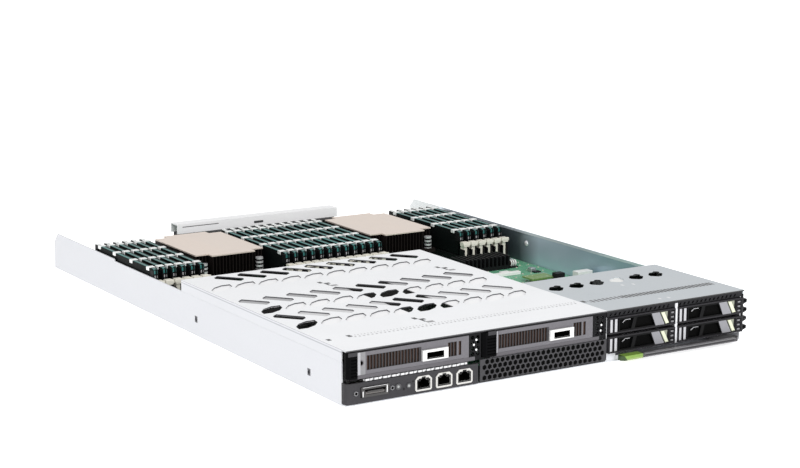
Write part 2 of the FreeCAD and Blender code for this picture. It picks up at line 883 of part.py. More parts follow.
def build_card_slots():
    frame_left = left + size.tray_sheet + size.small_gap
    frame_right = cage_left - 2 * size.running_gap
    frame_front = front + size.frame_setback
    frame_rear = frame_front + size.frame_depth
    skin = size.tray_sheet
    pillar_lefts = [slot + size.bracket_end + size.running_gap for slot in slots]
    latch_pivots = [slots[0] + size.left_latch_pivot, slots[1] + size.right_latch_pivot]
    latch_widths = [size.left_latch_width, size.right_latch_width]
    ear_starts = [size.ear_left_start, size.ear_right_start]
    latch_low = frame_bottom + skin
    latch_high = frame_top - skin
    pivot_y = front + size.latch_pivot_setback
    pin_hole = size.latch_pin_radius + size.bore_gap

    frame = Piece("front_frame")
    frame.pad(
        "YZ", frame_left, frame_right - frame_left,
        [
            (frame_front, frame_bottom), (frame_rear, frame_bottom), (frame_rear, latch_low),
            (frame_front + skin, latch_low), (frame_front + skin, latch_high), (frame_rear, latch_high),
            (frame_rear, frame_top), (frame_front, frame_top),
        ],
    )
    window_starts = [frame_left, pillar_lefts[0] + size.pillar_width]
    for start, end, ear, slot in zip(window_starts, pillar_lefts, ear_starts, slots):
        sill = bracket_bottom - size.small_gap
        head = bracket_top + size.small_gap
        frame.cut(
            "XZ", frame_front, skin,
            [
                (start, latch_low), (slot + ear - 2 * size.small_gap, latch_low),
                (slot + ear - 2 * size.small_gap, sill), (end, sill), (end, head),
                (slot + ear - 2 * size.small_gap, head), (slot + ear - 2 * size.small_gap, latch_high),
                (start, latch_high),
            ],
        )
    for level in (frame_bottom, latch_high):
        frame.cut("XY", level, skin, *[pin_seat(across, pivot_y, pin_hole) for across in latch_pivots])
    pillar_rights = [pillar_lefts[0] + size.pillar_width, frame_right]
    for start, end in zip(pillar_lefts, pillar_rights):
        first = (start + end) / 2 - size.hexagon_pitch / 2
        row = size.bracket_height / 4
        small = size.hexagon_radius * 0.8
        column = frame.cut(
            "XZ", frame_front, skin,
            *[polygon(first, bracket_bottom + row * (k + 0.5), small, 6, 30) for k in range(4)],
        )
        frame.repeat(column, "X", 2, size.hexagon_pitch)
    frame.keep()

    plates = []
    for slot, ear in zip(slots, ear_starts):
        plate = Piece("bracket")
        sheet_front = frame_front + skin - size.bracket_sheet
        vent_low = bracket_bottom + size.vent_margin
        vent_high = bracket_top - size.vent_margin
        port_left = slot + size.port_place
        port_right = port_left + size.port_width
        plate.pad(
            "XZ", sheet_front, size.bracket_sheet,
            rectangle(slot + ear, bracket_bottom, slot + size.bracket_end, bracket_top),
        )
        plate.cut(
            "XZ", sheet_front, size.bracket_sheet,
            rectangle(port_left - size.small_gap, card_top - size.small_gap,
                      port_right + size.small_gap, card_top + size.port_height + size.small_gap),
            rectangle(slot + size.bracket_slot_place, vent_low,
                      slot + size.bracket_slot_place + size.bracket_slot_width, vent_high),
        )
        start = slot + size.vent_start
        vents = plate.cut(
            "XZ", sheet_front, size.bracket_sheet,
            rectangle(start, vent_low, start + size.vent_width, vent_high),
        )
        plate.repeat(
            vents, "X",
            whole((size.port_place - size.vent_start - size.vent_width - 1.0) / size.vent_pitch) + 1,
            size.vent_pitch,
        )
        start = port_right + size.vent_pitch - size.vent_width
        vents = plate.cut(
            "XZ", sheet_front, size.bracket_sheet,
            rectangle(start, vent_low, start + size.vent_width, vent_high),
        )
        room = size.bracket_slot_place - size.port_place - size.port_width
        plate.repeat(vents, "X", whole((room - 1.0) / size.vent_pitch), size.vent_pitch)
        plates.append(plate)
    plates[0].cut(
        "XZ", frame_front + skin - size.bracket_sheet, size.bracket_sheet,
        Ring(left + size.ear_hole_place, (bracket_bottom + bracket_top) / 2 + 0.4, size.ear_hole_radius),
    )
    group("pcie_brackets", [plate.body for plate in plates])

    port = Piece("port")
    port_front = front - size.port_proud
    port.pad(
        "XZ", port_front, size.port_depth,
        rectangle(0, card_top, size.port_width, card_top + size.port_height),
    )
    side = (size.port_width - size.port_mouth_width) / 2
    low = card_top + (size.port_height - size.port_mouth_height) / 2
    port.cut(
        "XZ", port_front, size.port_depth * 0.7,
        rectangle(side, low, size.port_width - side, low + size.port_mouth_height),
    )
    group("pcie_ports", copies(port.body, [(slot + size.port_place, 0, 0) for slot in slots]))

    socket_left = size.riser_place - size.riser_socket_width
    riser_front = front + size.riser_front
    card_front = frame_front + skin + size.small_gap
    card = Piece("card")
    card.pad(
        "XY", card_bottom, size.card_thickness,
        [
            (size.vent_start, card_front), (socket_left - 0.6, card_front),
            (socket_left - 0.6, riser_front + 4.0), (size.riser_place - 0.6, riser_front + 4.0),
            (size.riser_place - 0.6, riser_front + size.riser_length - 4.0),
            (socket_left - 0.6, riser_front + size.riser_length - 4.0),
            (socket_left - 0.6, card_front + size.card_length),
            (size.vent_start, card_front + size.card_length),
        ],
    )
    group("pcie_cards", copies(card.body, [(slot, 0, 0) for slot in slots]))

    riser = Piece("riser")
    riser.pad(
        "YZ", size.riser_place, size.card_thickness,
        rectangle(riser_front, board_top, riser_front + size.riser_length, size.riser_top),
    )
    centre = card_bottom + size.card_thickness / 2
    riser.pad(
        "YZ", socket_left, size.riser_socket_width,
        rectangle(riser_front + 2.0, centre - size.riser_socket_height / 2,
                  riser_front + size.riser_length - 2.0, centre + size.riser_socket_height / 2),
    )
    riser.cut(
        "YZ", socket_left, size.riser_socket_width - 0.4,
        rectangle(riser_front + 3.9, card_bottom - size.small_gap,
                  riser_front + size.riser_length - 3.9, card_top + size.small_gap),
    )
    group("riser_cards", copies(riser.body, [(slot, 0, 0) for slot in slots]))

    # Ribbed clips, each with stub pins in the frame's flanges.
    for name, pivot, width in zip(("pcie_latch_left", "pcie_latch_right"), latch_pivots, latch_widths):
        latch = Piece(name)
        low = latch_low + size.small_gap
        tall = latch_high - latch_low - 2 * size.small_gap
        nose = pivot_y - size.latch_reach
        latch.pad(
            "XY", low, tall,
            [
                (pivot - size.latch_back, pivot_y + 1.8), (pivot - size.latch_back, pivot_y - 1.4),
                (pivot - 0.6, nose), (pivot + width, nose), (pivot + width, pivot_y + 1.8),
            ],
        )
        pin_low = frame_bottom + 2 * size.small_gap
        latch.pad(
            "XY", pin_low, frame_top - frame_bottom - 4 * size.small_gap,
            Ring(pivot, pivot_y, size.latch_pin_radius),
        )
        rib = latch.cut(
            "XZ", nose, 1.0,
            rectangle(pivot + 0.6, low + 1.6, pivot + width - 1.2, low + 2.8),
        )
        latch.repeat(rib, "Z", whole((tall - 3.0) / 2.6), 2.6)
        latch.keep()

    grille = Piece("mesh_grille")
    grille_left = slots[1] + 2 * size.running_gap
    low = base_top + size.grille_lift
    high = frame_bottom - 2 * size.small_gap
    grille.pad("XZ", front, size.grille_thickness, rectangle(grille_left, low, frame_right, high))
    wide = frame_right - grille_left
    row_pitch = size.hexagon_pitch * 0.866
    columns = whole((wide - size.hexagon_pitch / 2 - 1.4) / size.hexagon_pitch)
    rows = whole((high - low - 2 * size.hexagon_radius) / row_pitch) + 1
    first_x = grille_left + (wide - (columns - 0.5) * size.hexagon_pitch) / 2
    first_z = (low + high) / 2 - (rows - 1) * row_pitch / 2
    for shift in (0, 1):
        across = first_x + shift * size.hexagon_pitch / 2
        hole = grille.cut(
            "XZ", front, size.grille_thickness,
            *[
                polygon(across, first_z + k * row_pitch, size.hexagon_radius, 6, 30)
                for k in range(shift, int(rows.value), 2)
            ],
        )
        grille.repeat(hole, "X", columns, size.hexagon_pitch)
    grille.keep()


def build_cage():
    cage_front = front + size.cage_front
    wall_top = cage_top - size.small_gap
    divider_top = wall_top - size.grille_bridge - size.small_gap
    divider_left = bay_lefts[0] + bay_width
    group("cage_uprights", [
        block("left_upright", (cage_left, cage_front, base_top), (bay_lefts[0], backplane_rear, wall_top)),
        block("divider", (divider_left, front, floor_top), (bay_lefts[1], backplane_front, divider_top)),
        block("right_upright", (cage_right, cage_front, base_top),
              (cage_right + size.cage_sheet, backplane_rear, wall_top)),
    ])
    shelf_front = cage_front + 6.0
    shelves = [
        block("shelf", (start, shelf_front, shelf_bottom),
              (start + bay_width, backplane_front, shelf_bottom + size.cage_sheet))
        for start in bay_lefts
    ]
    floor = block("floor", (bay_lefts[0], cage_front, floor_bottom), (cage_right, backplane_rear, floor_top))
    group("cage_shelves", shelves + [floor])

    grille = Piece("drive_grille")
    low = upper_row + size.carrier_height + 5 * size.small_gap
    high = cage_top - size.small_gap
    divider_gap = 2 * size.small_gap
    notch_low = high - size.grille_bridge
    grille.pad(
        "XZ", front + size.cage_front - 1.0, 1.0,
        [
            (cage_left, low), (divider_left - divider_gap, low), (divider_left - divider_gap, notch_low),
            (bay_lefts[1] + divider_gap, notch_low), (bay_lefts[1] + divider_gap, low),
            (cage_right + size.cage_sheet, low), (cage_right + size.cage_sheet, high), (cage_left, high),
        ],
    )
    lean = 1.4
    for start in bay_lefts:
        hole = grille.cut(
            "XZ", front + size.cage_front - 1.0, 1.0,
            [
                (start + 1.6, low + 0.7), (start + 3.6, low + 0.7),
                (start + 3.6 + lean, notch_low - 0.4), (start + 1.6 + lean, notch_low - 0.4),
            ],
        )
        grille.repeat(hole, "X", whole((bay_width - 4.0) / size.lattice_pitch), size.lattice_pitch)
    grille.keep()

    backplane = Piece("drive_backplane")
    backplane.pad(
        "XZ", backplane_front, size.backplane_thickness,
        rectangle(bay_lefts[0], floor_top, cage_right, upper_row + size.carrier_height),
    )
    half = size.drive_width * 0.3
    for start in bay_lefts:
        centre = start + bay_width / 2
        for row in (lower_row, upper_row):
            low = row + size.drive_lift + 2.0
            backplane.pad(
                "XZ", backplane_front - size.backplane_socket, size.backplane_socket,
                rectangle(centre - half, low, centre + half, low + size.drive_height - 4.0),
            )
    backplane.keep()


def build_drive(number, bay_left, low):
    """A carrier with its drive, swinging handle and release button."""
    start = bay_left + size.running_gap
    end = start + size.carrier_width
    high = low + size.carrier_height
    nose = front - size.bezel_proud
    pocket_low = low + size.pocket_edge
    pocket_high = high - size.pocket_edge
    pocket_left = start + size.pocket_side
    pocket_right = end - size.vent_column
    handle_left = pocket_left + 11 * size.small_gap
    pivot = (pocket_left + size.handle_pin_place, nose + 2.2)
    handle_low = pocket_low + size.running_gap
    handle_high = pocket_high - size.running_gap

    carrier = Piece(f"carrier_{number}")
    carrier.pad("XZ", nose, size.bezel_depth, rectangle(start, low, end, high))
    rail_front = nose + size.bezel_depth / 2
    carrier.pad(
        "XZ", rail_front, front + size.carrier_length - rail_front,
        rectangle(start, low, start + size.rail_thickness, high),
        rectangle(end - size.rail_thickness, low, end, high),
    )
    carrier.cut("XZ", nose, size.pocket_depth, rectangle(pocket_left, pocket_low, pocket_right, pocket_high))
    grooves = ((0.0, 0.11), (0.39, 0.62))
    carrier.cut(
        "XZ", nose, 1.0,
        *[
            rectangle(start + size.pocket_side * near, pocket_low, start + size.pocket_side * far, pocket_high)
            for near, far in grooves
        ],
    )
    slit = (pocket_high - pocket_low) / 3
    vent = carrier.cut(
        "XZ", nose, size.bezel_depth,
        rectangle(pocket_right + 0.8, pocket_low + 0.4, end - 0.8, pocket_low + slit - 0.4),
    )
    carrier.repeat(vent, "Z", 3, slit)
    hole = size.handle_pin_radius + size.bore_gap
    for level in (pocket_low - 1.0, pocket_high):
        carrier.cut("XY", level, 1.0, pin_seat(pivot[0], pivot[1], hole))
    carrier.keep()

    inside = (size.carrier_width - size.drive_width) / 2
    nodes.append(block(
        f"drive_{number}",
        (start + inside, front + size.drive_setback, low + size.drive_lift),
        (end - inside, front + size.drive_setback + size.drive_length,
         low + size.drive_lift + size.drive_height),
    ))

    release_right = pocket_right - size.running_gap - size.small_gap
    release_low = release_right - size.release_width
    release_high = release_low - size.handle_slant
    handle_foot = release_low - size.release_gap
    handle_head = release_high - size.release_gap
    handle = Piece(f"handle_{number}")
    handle.pad(
        "XZ", nose, size.handle_thickness,
        [
            (handle_left, handle_low), (handle_foot, handle_low),
            (handle_head, handle_high), (handle_left, handle_high),
        ],
    )
    handle.pad(
        "XY", handle_low - size.running_gap - 0.8, handle_high - handle_low + 2 * (size.running_gap + 0.8),
        Ring(pivot[0], pivot[1], size.handle_pin_radius),
    )
    reach = handle_head - handle_left
    recess_low = handle_low + 0.9
    recess_high = handle_high - 0.9
    handle.cut(
        "XZ", nose, size.handle_recess,
        [
            (handle_left + 0.8, recess_low), (handle_left + reach * 0.3, recess_low),
            (handle_left + reach * 0.36, recess_high), (handle_left + 0.8, recess_high),
        ],
        [
            (handle_left + reach * 0.385, recess_low), (handle_left + reach * 0.89, recess_low),
            (handle_left + reach * 0.785, recess_high), (handle_left + reach * 0.445, recess_high),
        ],
    )
    handle.keep()

    release = Piece(f"release_{number}")
    release.pad(
        "XZ", nose, size.handle_thickness,
        [
            (release_low, handle_low), (release_right, handle_low),
            (release_right, handle_high), (release_high, handle_high),
        ],
    )
    release.keep()


def build_ejector():
    pivot_x = right - size.lever_pivot_side
    pivot_y = front + size.lever_pivot_setback
    arm_left = cage_left + size.lever_left
    nose = front - size.lever_reach
    arm_rear = nose + size.lever_width
    middle = nose + size.lever_width / 2
    half = size.tongue_width / 2
    boss = size.lever_boss
    tail = pivot_x + size.lever_tail
    lever = Piece("ejector_lever")
    lever.pad(
        "XY", lever_bottom, size.lever_thickness,
        [
            (arm_left - size.tongue_length, middle - half), (arm_left, middle - half), (arm_left, nose),
            (tail - 4.0, nose), (tail, nose + 4.0), (tail, arm_rear),
            (pivot_x + boss, pivot_y), (pivot_x + boss / 2, pivot_y + boss * 0.8),
            (pivot_x - boss / 2, pivot_y + boss * 0.8), (pivot_x - boss, pivot_y),
            (pivot_x - boss, arm_rear), (arm_left, arm_rear), (arm_left, middle + half),
            (arm_left - size.tongue_length, middle + half),
        ],
    )
    lever.cut(
        "XY", lever_bottom, size.lever_thickness,
        Ring(pivot_x, pivot_y, size.lever_pin_radius + size.bore_gap),
    )
    lever.cut(
        "XZ", nose, 0.8,
        rectangle(arm_left + 3.0, lever_bottom + size.lever_thickness * 0.35,
                  tail - 8.0, lever_bottom + size.lever_thickness * 0.65),
    )
    lever.keep()

    grip = Piece("ejector_grip")
    grip_left = arm_left - size.grip_length
    grip_front = nose - size.grip_margin
    grip_rear = arm_rear + size.grip_margin
    grip.pad(
        "XY", lever_bottom - size.grip_margin, size.lever_thickness + 2 * size.grip_margin,
        [
            (grip_left, grip_front + 2.4), (grip_left + 3.0, grip_front), (arm_left, grip_front),
            (arm_left, grip_rear), (grip_left + 4.0, grip_rear), (grip_left, grip_rear - 2.4),
        ],
    )
    grip.cut(
        "YZ", arm_left - size.tongue_length, size.tongue_length,
        rectangle(middle - half, lever_bottom, middle + half, lever_top),
    )
    grip.keep()

    pin = Piece("ejector_pivot")
    pin.pad(
        "XY", base_top, size.washer_height, polygon(pivot_x, pivot_y, 2.2 * size.lever_pin_radius, 6, 0),
    )
    pin.pad("XY", base_top, floor_bottom - base_top, Ring(pivot_x, pivot_y, size.lever_pin_radius))
    pin.keep()


def build_contact_strips():
    strip = Piece("side_strip")
    low = size.side_strip_low
    count = whole((right_wall_top - low) / size.finger_pitch)
    strip_front = front + size.right_wall_setback + 1.0
    sheet = size.finger_sheet
    reach = right + size.finger_reach
    strip.pad(
        "XZ", strip_front, size.finger_length + 2.0,
        rectangle(right, low, right + sheet, low + count * size.finger_pitch),
    )
    bump = size.finger_pitch * 0.9
    finger = strip.pad(
        "XZ", strip_front + 1.0, size.finger_length,
        [
            (right + sheet / 2, low), (reach, low + bump * 0.3),
            (reach, low + bump * 0.7), (right + sheet / 2, low + bump),
        ],
        [
            (right + sheet, low + bump * 0.16), (reach - sheet, low + bump * 0.37),
            (reach - sheet, low + bump * 0.63), (right + sheet, low + bump * 0.84),
        ],
    )
    strip.repeat(finger, "Z", count, size.finger_pitch)

    band = Piece("front_strip")
    start = left + size.front_strip_start
    low = panel_top + size.small_gap
    high = frame_bottom - size.small_gap
    band.pad("XZ", front + 1.0, 0.8, rectangle(start, low, start + size.front_strip_length, high))
    tooth = band.pad(
        "XZ", front + 0.2, 0.8,
        rectangle(start + 0.8, low + 0.3, start + 0.8 + size.front_finger_width, high - 0.3),
    )
    band.repeat(tooth, "X", whole(size.front_strip_length / size.front_finger_pitch), size.front_finger_pitch)
    group("emi_strips", [strip.body, band.body])


def build_board():
    board_left = left + size.tray_sheet + size.board_gap
    board_right = right - size.tray_sheet - size.board_gap
    board_front = backplane_rear + size.board_front_gap
    board_rear = rear - size.board_rear_margin
    tongue_left = left + size.riser_place - 9.0
    tongue_right = cage_left - size.board_gap
    tongue_front = front - size.jack_proud + size.jack_depth + size.tongue_front_gap
    board = Piece("motherboard")
    board.pad(
        "XY", board_bottom, size.board_thickness,
        [
            (tongue_left, tongue_front), (tongue_right, tongue_front), (tongue_right, board_front),
            (board_right, board_front), (board_right, board_rear), (board_left, board_rear),
            (board_left, board_front), (tongue_left, board_front),
        ],
    )
    board.keep()

    high = six_sided("high_standoff", size.standoff_radius, size.standoff_height)
    columns = (board_left + size.foot_width + 6.0, Size(0.0, "(0.0)"), board_right - size.foot_width - 6.0)
    lines = (board_front + 10.0, module_front - 60.0, module_front + 20.0, board_rear - 10.0)
    spots = [(across, along, base_top) for across in columns for along in lines]
    spots += [(across, tongue_front + 30.0, base_top) for across in (tongue_left + 22.0, tongue_right - 8.0)]
    short = six_sided("short_standoff", size.standoff_radius, size.io_standoff)
    io_front = front + size.panel_sheet + 5.0
    low_spots = [
        (left + across, along, base_top)
        for across in (16.0, size.connector_section - 10.0)
        for along in (io_front + 4.0, io_front + size.io_board_depth - 10.0)
    ]
    group("standoffs", copies(high, spots) + copies(short, low_spots))

    connector = Piece("connector")
    half = size.connector_width / 2
    back = rear - size.connector_rear
    connector.pad(
        "XY", board_top, size.connector_height,
        rectangle(-half, back - size.connector_length, half, back),
    )
    slot = connector.cut(
        "XZ", back - 3.0, 3.0,
        rectangle(-half + 4.0, board_top + 5.0, -half + 8.0, board_top + size.connector_height - 4.0),
    )
    connector.repeat(slot, "X", whole((size.connector_width - 8.0) / 8.0), 8.0)
    group("rear_connectors", copies(connector.body, [(k * size.connector_pitch, 0, 0) for k in (-1, 0, 1)]))

    bridge = Piece("rear_bridge")
    low = board_top + size.connector_height
    high = low + size.bridge_height
    bridge_rear = back - 2.0
    bridge_front = bridge_rear - size.bridge_depth
    skin = size.tray_sheet
    bridge.pad(
        "YZ", -size.bridge_width / 2, size.bridge_width,
        [
            (bridge_front, low), (bridge_front + skin, low), (bridge_front + skin, high - skin),
            (bridge_rear - skin, high - skin), (bridge_rear - skin, low), (bridge_rear, low),
            (bridge_rear, high), (bridge_front, high),
        ],
    )
    bridge.keep()

    sink = Piece("chipset_heatsink")
    start = right - size.chipset_side - size.chipset_width
    sink_front = module_front - size.chipset_setback - size.chipset_length
    sink_rear = sink_front + size.chipset_length
    sink.pad(
        "XY", board_top, size.chipset_base,
        rectangle(start, sink_front, start + size.chipset_width, sink_rear),
    )
    fin = sink.pad(
        "XY", board_top + size.chipset_base, size.chipset_fins,
        rectangle(start, sink_front, start + size.chipset_fin, sink_rear),
    )
    sink.repeat(
        fin, "X", whole((size.chipset_width - size.chipset_fin) / size.chipset_fin_pitch) + 1,
        size.chipset_fin_pitch,
    )
    sink.keep()

    card = Piece("mezzanine_card")
    card_right = right - size.mezzanine_side
    card_left = card_right - size.mezzanine_width
    card_rear = module_front - size.mezzanine_setback
    card_front = card_rear - size.mezzanine_length
    card.pad(
        "XY", board_top + size.mezzanine_lift, size.card_thickness,
        rectangle(card_left, card_front, card_right, card_rear),
    )
    card.pad(
        "XY", board_top, size.mezzanine_lift,
        rectangle(card_left + 5.0, card_front + size.mezzanine_length / 3,
                  card_right - 5.0, card_rear - size.mezzanine_length / 3),
    )
    card.keep()


def build_processors(sinks):
    middle_y = module_front + size.sink_setback + size.sink_length / 2
    frame_top_level = board_top + size.socket_frame_height
    sink_low = named("sink_low", frame_top_level + size.processor_height)
    fins_low = sink_low + size.sink_base
    fins_high = fins_low + size.sink_fins
    half_x = size.sink_width / 2
    half_y = size.sink_length / 2
    notch_x = half_x - size.sink_notch_width
    notch_y = half_y - size.sink_notch_length
    screw_x = half_x - size.sink_screw_side
    screw_y = half_y - size.sink_screw_end
    spots = [(centre, middle_y, 0) for centre in sinks]

    frame = Piece("socket_frame")
    wide = size.socket_frame_width / 2
    long = size.socket_frame_length / 2
    chip_x = size.processor_width / 2
    chip_y = size.processor_length / 2
    gap = size.small_gap
    frame.pad("XY", board_top, size.socket_frame_height, rectangle(-wide, -long, wide, long))
    frame.cut(
        "XY", frame_top_level - size.socket_recess, size.socket_recess,
        rectangle(-chip_x - gap, -chip_y - gap, chip_x + gap, chip_y + gap),
    )
    group("cpu_sockets", copies(frame.body, spots))

    chip = Piece("chip")
    chip.pad(
        "XY", frame_top_level - size.socket_recess, size.socket_recess,
        rectangle(-chip_x, -chip_y, chip_x, chip_y),
    )
    chip.pad(
        "XY", frame_top_level, size.processor_height,
        rectangle(-chip_x * 0.84, -chip_y * 0.84, chip_x * 0.84, chip_y * 0.84),
    )
    group("processors", copies(chip.body, spots))

    fins = Piece("fins")
    fins.pad("XY", sink_low, size.sink_base, rectangle(-half_x, -half_y, half_x, half_y))
    fin = fins.pad(
        "XY", fins_low, size.sink_fins,
        rectangle(-half_x, -half_y, -half_x + size.fin_thickness, half_y),
    )
    fins.repeat(
        fin, "X", whole((size.sink_width - size.fin_thickness) / size.fin_pitch) + 1, size.fin_pitch,
    )
    corners = []
    for side in (-1, 1):
        for end in (-1, 1):
            corners.append(rectangle(side * notch_x, end * notch_y, side * half_x, end * half_y))
    fins.cut("XY", fins_low, size.sink_fins, *corners)
    hole = size.screw_radius + size.small_gap
    fins.cut(
        "XY", sink_low, size.sink_base,
        *[polygon(side * screw_x, end * screw_y, hole, 6, 0) for side in (-1, 1) for end in (-1, 1)],
    )
    group("heatsink_fins", copies(fins.body, spots))

    plate = Piece("plate")
    plate.pad(
        "XY", fins_high, size.sink_plate,
        [
            (-notch_x, -half_y), (notch_x, -half_y), (notch_x, -notch_y), (half_x, -notch_y),
            (half_x, notch_y), (notch_x, notch_y), (notch_x, half_y), (-notch_x, half_y),
            (-notch_x, notch_y), (-half_x, notch_y), (-half_x, -notch_y), (-notch_x, -notch_y),
        ],
    )
    group("heatsink_plates", copies(plate.body, spots))

    screw = Piece("screw")
    screw.pad("XY", board_top, fins_low - board_top, polygon(0, 0, size.screw_radius, 6, 0))
    screw.pad("XY", fins_low, size.screw_head, polygon(0, 0, 2 * size.screw_radius, 6, 0))
    screw_spots = [
        (centre + side * screw_x, middle_y + end * screw_y, 0)
        for centre in sinks for side in (-1, 1) for end in (-1, 1)
    ]
    group("heatsink_screws", copies(screw.body, screw_spots))


def build_memory(columns):
    half = size.socket_width / 2
    reach = size.tower_start + size.tower_length
    socket_top = board_top + size.socket_height
    tower_top = board_top + size.tower_height
    socket = Piece("socket")
    socket.pad(
        "YZ", -half, size.socket_width,
        [
            (module_front - reach, board_top), (module_rear + reach, board_top),
            (module_rear + reach, tower_top), (module_rear + size.tower_start, tower_top),
            (module_rear + size.tower_start, socket_top), (module_front - size.tower_start, socket_top),
            (module_front - size.tower_start, tower_top), (module_front - reach, tower_top),
        ],
    )
    slot = size.module_thickness / 2 + size.small_gap
    socket.cut(
        "XY", board_top + size.module_seat, size.socket_height - size.module_seat,
        rectangle(-slot, module_front - 2 * size.small_gap, slot, module_rear + 2 * size.small_gap),
    )
    cheek = size.tower_slot / 2
    socket.cut(
        "XY", board_top, size.tower_height,
        rectangle(-cheek, module_front - reach, cheek, module_front - size.tower_start),
        rectangle(-cheek, module_rear + size.tower_start, cheek, module_rear + reach),
    )
    spots = [(centre, 0, 0) for centre in columns]
    group("dimm_sockets", copies(socket.body, spots))

    module = Piece("module")
    low = board_top + size.module_seat
    high = low + size.module_height
    module.pad(
        "YZ", -size.module_thickness / 2, size.module_thickness,
        rectangle(module_front, low, module_rear, high),
    )
    module.pad(
        "YZ", -size.spreader_thickness / 2, size.spreader_thickness,
        rectangle(module_front + 4.0, socket_top + 1.0, module_rear - 4.0, high),
    )
    group("memory_modules", copies(module.body, spots))

    # Latches: a stem in the socket tower with a nose against the module, a wide bar on top.
    nose = tower_top - 1.0
    bar_low = tower_top + 3.6
    bar_high = bar_low + 4.2
    pivot = board_top + size.latch_pivot_lift
    ends = (("front_latches", module_front, -1), ("rear_latches", module_rear, 1))
    for name, end, side in ends:
        latch = Piece("latch")
        out = size.latch_pivot_out
        stem = [
            (out - 1.3, board_top + 0.6), (out + 1.5, board_top + 0.6), (out + 2.0, pivot),
            (out + 2.0, bar_low), (out - 2.6, bar_low), (2 * size.small_gap, nose + 2.6), (out - 2.0, pivot),
        ]
        latch.pad(
            "YZ", -size.latch_stem / 2, size.latch_stem,
            [(end + side * as_size(u), v) for u, v in stem],
        )
        latch.pad(
            "YZ", -size.latch_bar / 2, size.latch_bar,
            rectangle(end + side * (out - 2.6), bar_low, end + side * (out + 5.0), bar_high),
        )
        group(name, copies(latch.body, spots))


def memory_layout():
    """Centre lines of the modules and of the two heat sinks."""
    half = size.socket_width / 2
    bank = 5 * size.module_pitch
    widest = larger(size.socket_width, size.latch_bar)
    left_first = named("left_bank", left + size.tray_sheet + size.socket_wall_gap + widest / 2)
    right_first = named("right_bank", right - size.tray_sheet - size.right_bank_gap - bank)
    first_sink = named("first_sink", left_first + bank + half + size.sink_gap + size.sink_width / 2)
    second_sink = named("second_sink", right_first - half - size.sink_gap - size.sink_width / 2)
    room_left = first_sink + size.sink_width / 2 + size.middle_bank_gap
    room_right = second_sink - size.sink_width / 2 - size.middle_bank_gap
    count = whole((room_right - room_left - size.socket_width) / size.module_pitch) + 1
    columns = [left_first + k * size.module_pitch for k in range(6)]
    columns += [room_left + half + k * size.module_pitch for k in range(int(count.value))]
    columns += [right_first + k * size.module_pitch for k in range(6)]
    return columns, (first_sink, second_sink)


module_columns, sink_columns = memory_layout()
build_tray()
build_left_cover()
build_right_cover()
build_connector_panel()
build_card_slots()
build_cage()
bays = [(bay_left, row) for row in (upper_row, lower_row) for bay_left in bay_lefts]
for number, (bay_left, row) in enumerate(bays, 1):
    build_drive(number, bay_left, row)
build_ejector()
build_contact_strips()
build_board()
build_processors(sink_columns)
build_memory(module_columns)
doc.recompute()

faults = []
for item in doc.Objects:
    if "Invalid" in item.State or "Error" in item.State:
        faults.append(f"{item.Label}: {item.State}")
    if item.TypeId == "PartDesign::Pocket" and item.Shape.Volume > item.BaseFeature.Shape.Volume - 0.01:
        faults.append(f"{item.Label}: cuts nothing")
for node in nodes:
    if node.Shape.isNull() or not node.Shape.isValid() or not node.Shape.Solids:
        faults.append(f"{node.Label}: no valid solid")
if faults:
    raise RuntimeError("\n".join(faults))

os.makedirs("parts", exist_ok=True)
for node in nodes:
    node.Shape.exportStep(f"parts/{node.Label}.step")
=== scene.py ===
import json
import math

import bmesh
import bpy
from mathutils import Matrix, Vector


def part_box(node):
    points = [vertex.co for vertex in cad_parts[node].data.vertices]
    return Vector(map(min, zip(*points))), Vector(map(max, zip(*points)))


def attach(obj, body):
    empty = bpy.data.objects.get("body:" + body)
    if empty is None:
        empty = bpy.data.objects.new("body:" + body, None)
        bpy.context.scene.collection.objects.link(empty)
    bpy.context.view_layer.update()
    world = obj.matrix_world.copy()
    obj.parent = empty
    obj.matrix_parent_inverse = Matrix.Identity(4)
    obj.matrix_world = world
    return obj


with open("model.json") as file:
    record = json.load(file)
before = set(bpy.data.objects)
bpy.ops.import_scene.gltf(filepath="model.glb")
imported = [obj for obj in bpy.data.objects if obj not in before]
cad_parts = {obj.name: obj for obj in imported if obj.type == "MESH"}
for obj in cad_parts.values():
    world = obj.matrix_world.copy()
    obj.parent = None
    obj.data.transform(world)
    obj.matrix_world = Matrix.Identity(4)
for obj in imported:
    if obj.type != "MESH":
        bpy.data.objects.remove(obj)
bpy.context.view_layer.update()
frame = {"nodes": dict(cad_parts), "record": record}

nodes = frame["nodes"]

# The frame is in metres. Places here are in millimetres from the tray's left side, its front and
# its underside.
MM = 0.001
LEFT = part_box("left_wall")[0][0]
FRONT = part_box("connector_panel")[0][1]
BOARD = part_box("motherboard")[1][2] / MM  # The top of the board.
CARD_PITCH = 126.0  # From one card slot to the other.
DRIVES = range(1, 5)
SIDES = (-1, 1)


def at(x, y, z):
    """A point of the frame, from its place in millimetres."""
    return Vector((LEFT + x * MM, FRONT + y * MM, z * MM))


def span(node):
    """The low and the high corner of a node's box, in millimetres."""
    return tuple(
        ((corner[0] - LEFT) / MM, (corner[1] - FRONT) / MM, corner[2] / MM)
        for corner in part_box(node)
    )


# Materials

PALE = 0.3  # A brighter colour wears darker, and a darker one lighter.
COARSER = 40  # The mottle is this many times coarser than the grain.
UNEVEN = 0.06  # Roughness varies by this much to both sides.
NOISE_LOW, NOISE_HIGH = 0.3, 0.7  # Most of a noise texture lies between these.
GRAIN_DEPTH = 0.2 * MM
PAST = 1  # Masks reach this many millimetres past the edge of a piece.


def shaded(colour, factor=1.0):
    """A colour made lighter or darker, with full opacity."""
    return tuple(min(1.0, max(0.0, channel * factor)) for channel in colour) + (1.0,)


def new_material(name):
    made = bpy.data.materials.new(name)
    made.use_nodes = True
    tree = made.node_tree
    return made, tree, tree.nodes["Principled BSDF"]


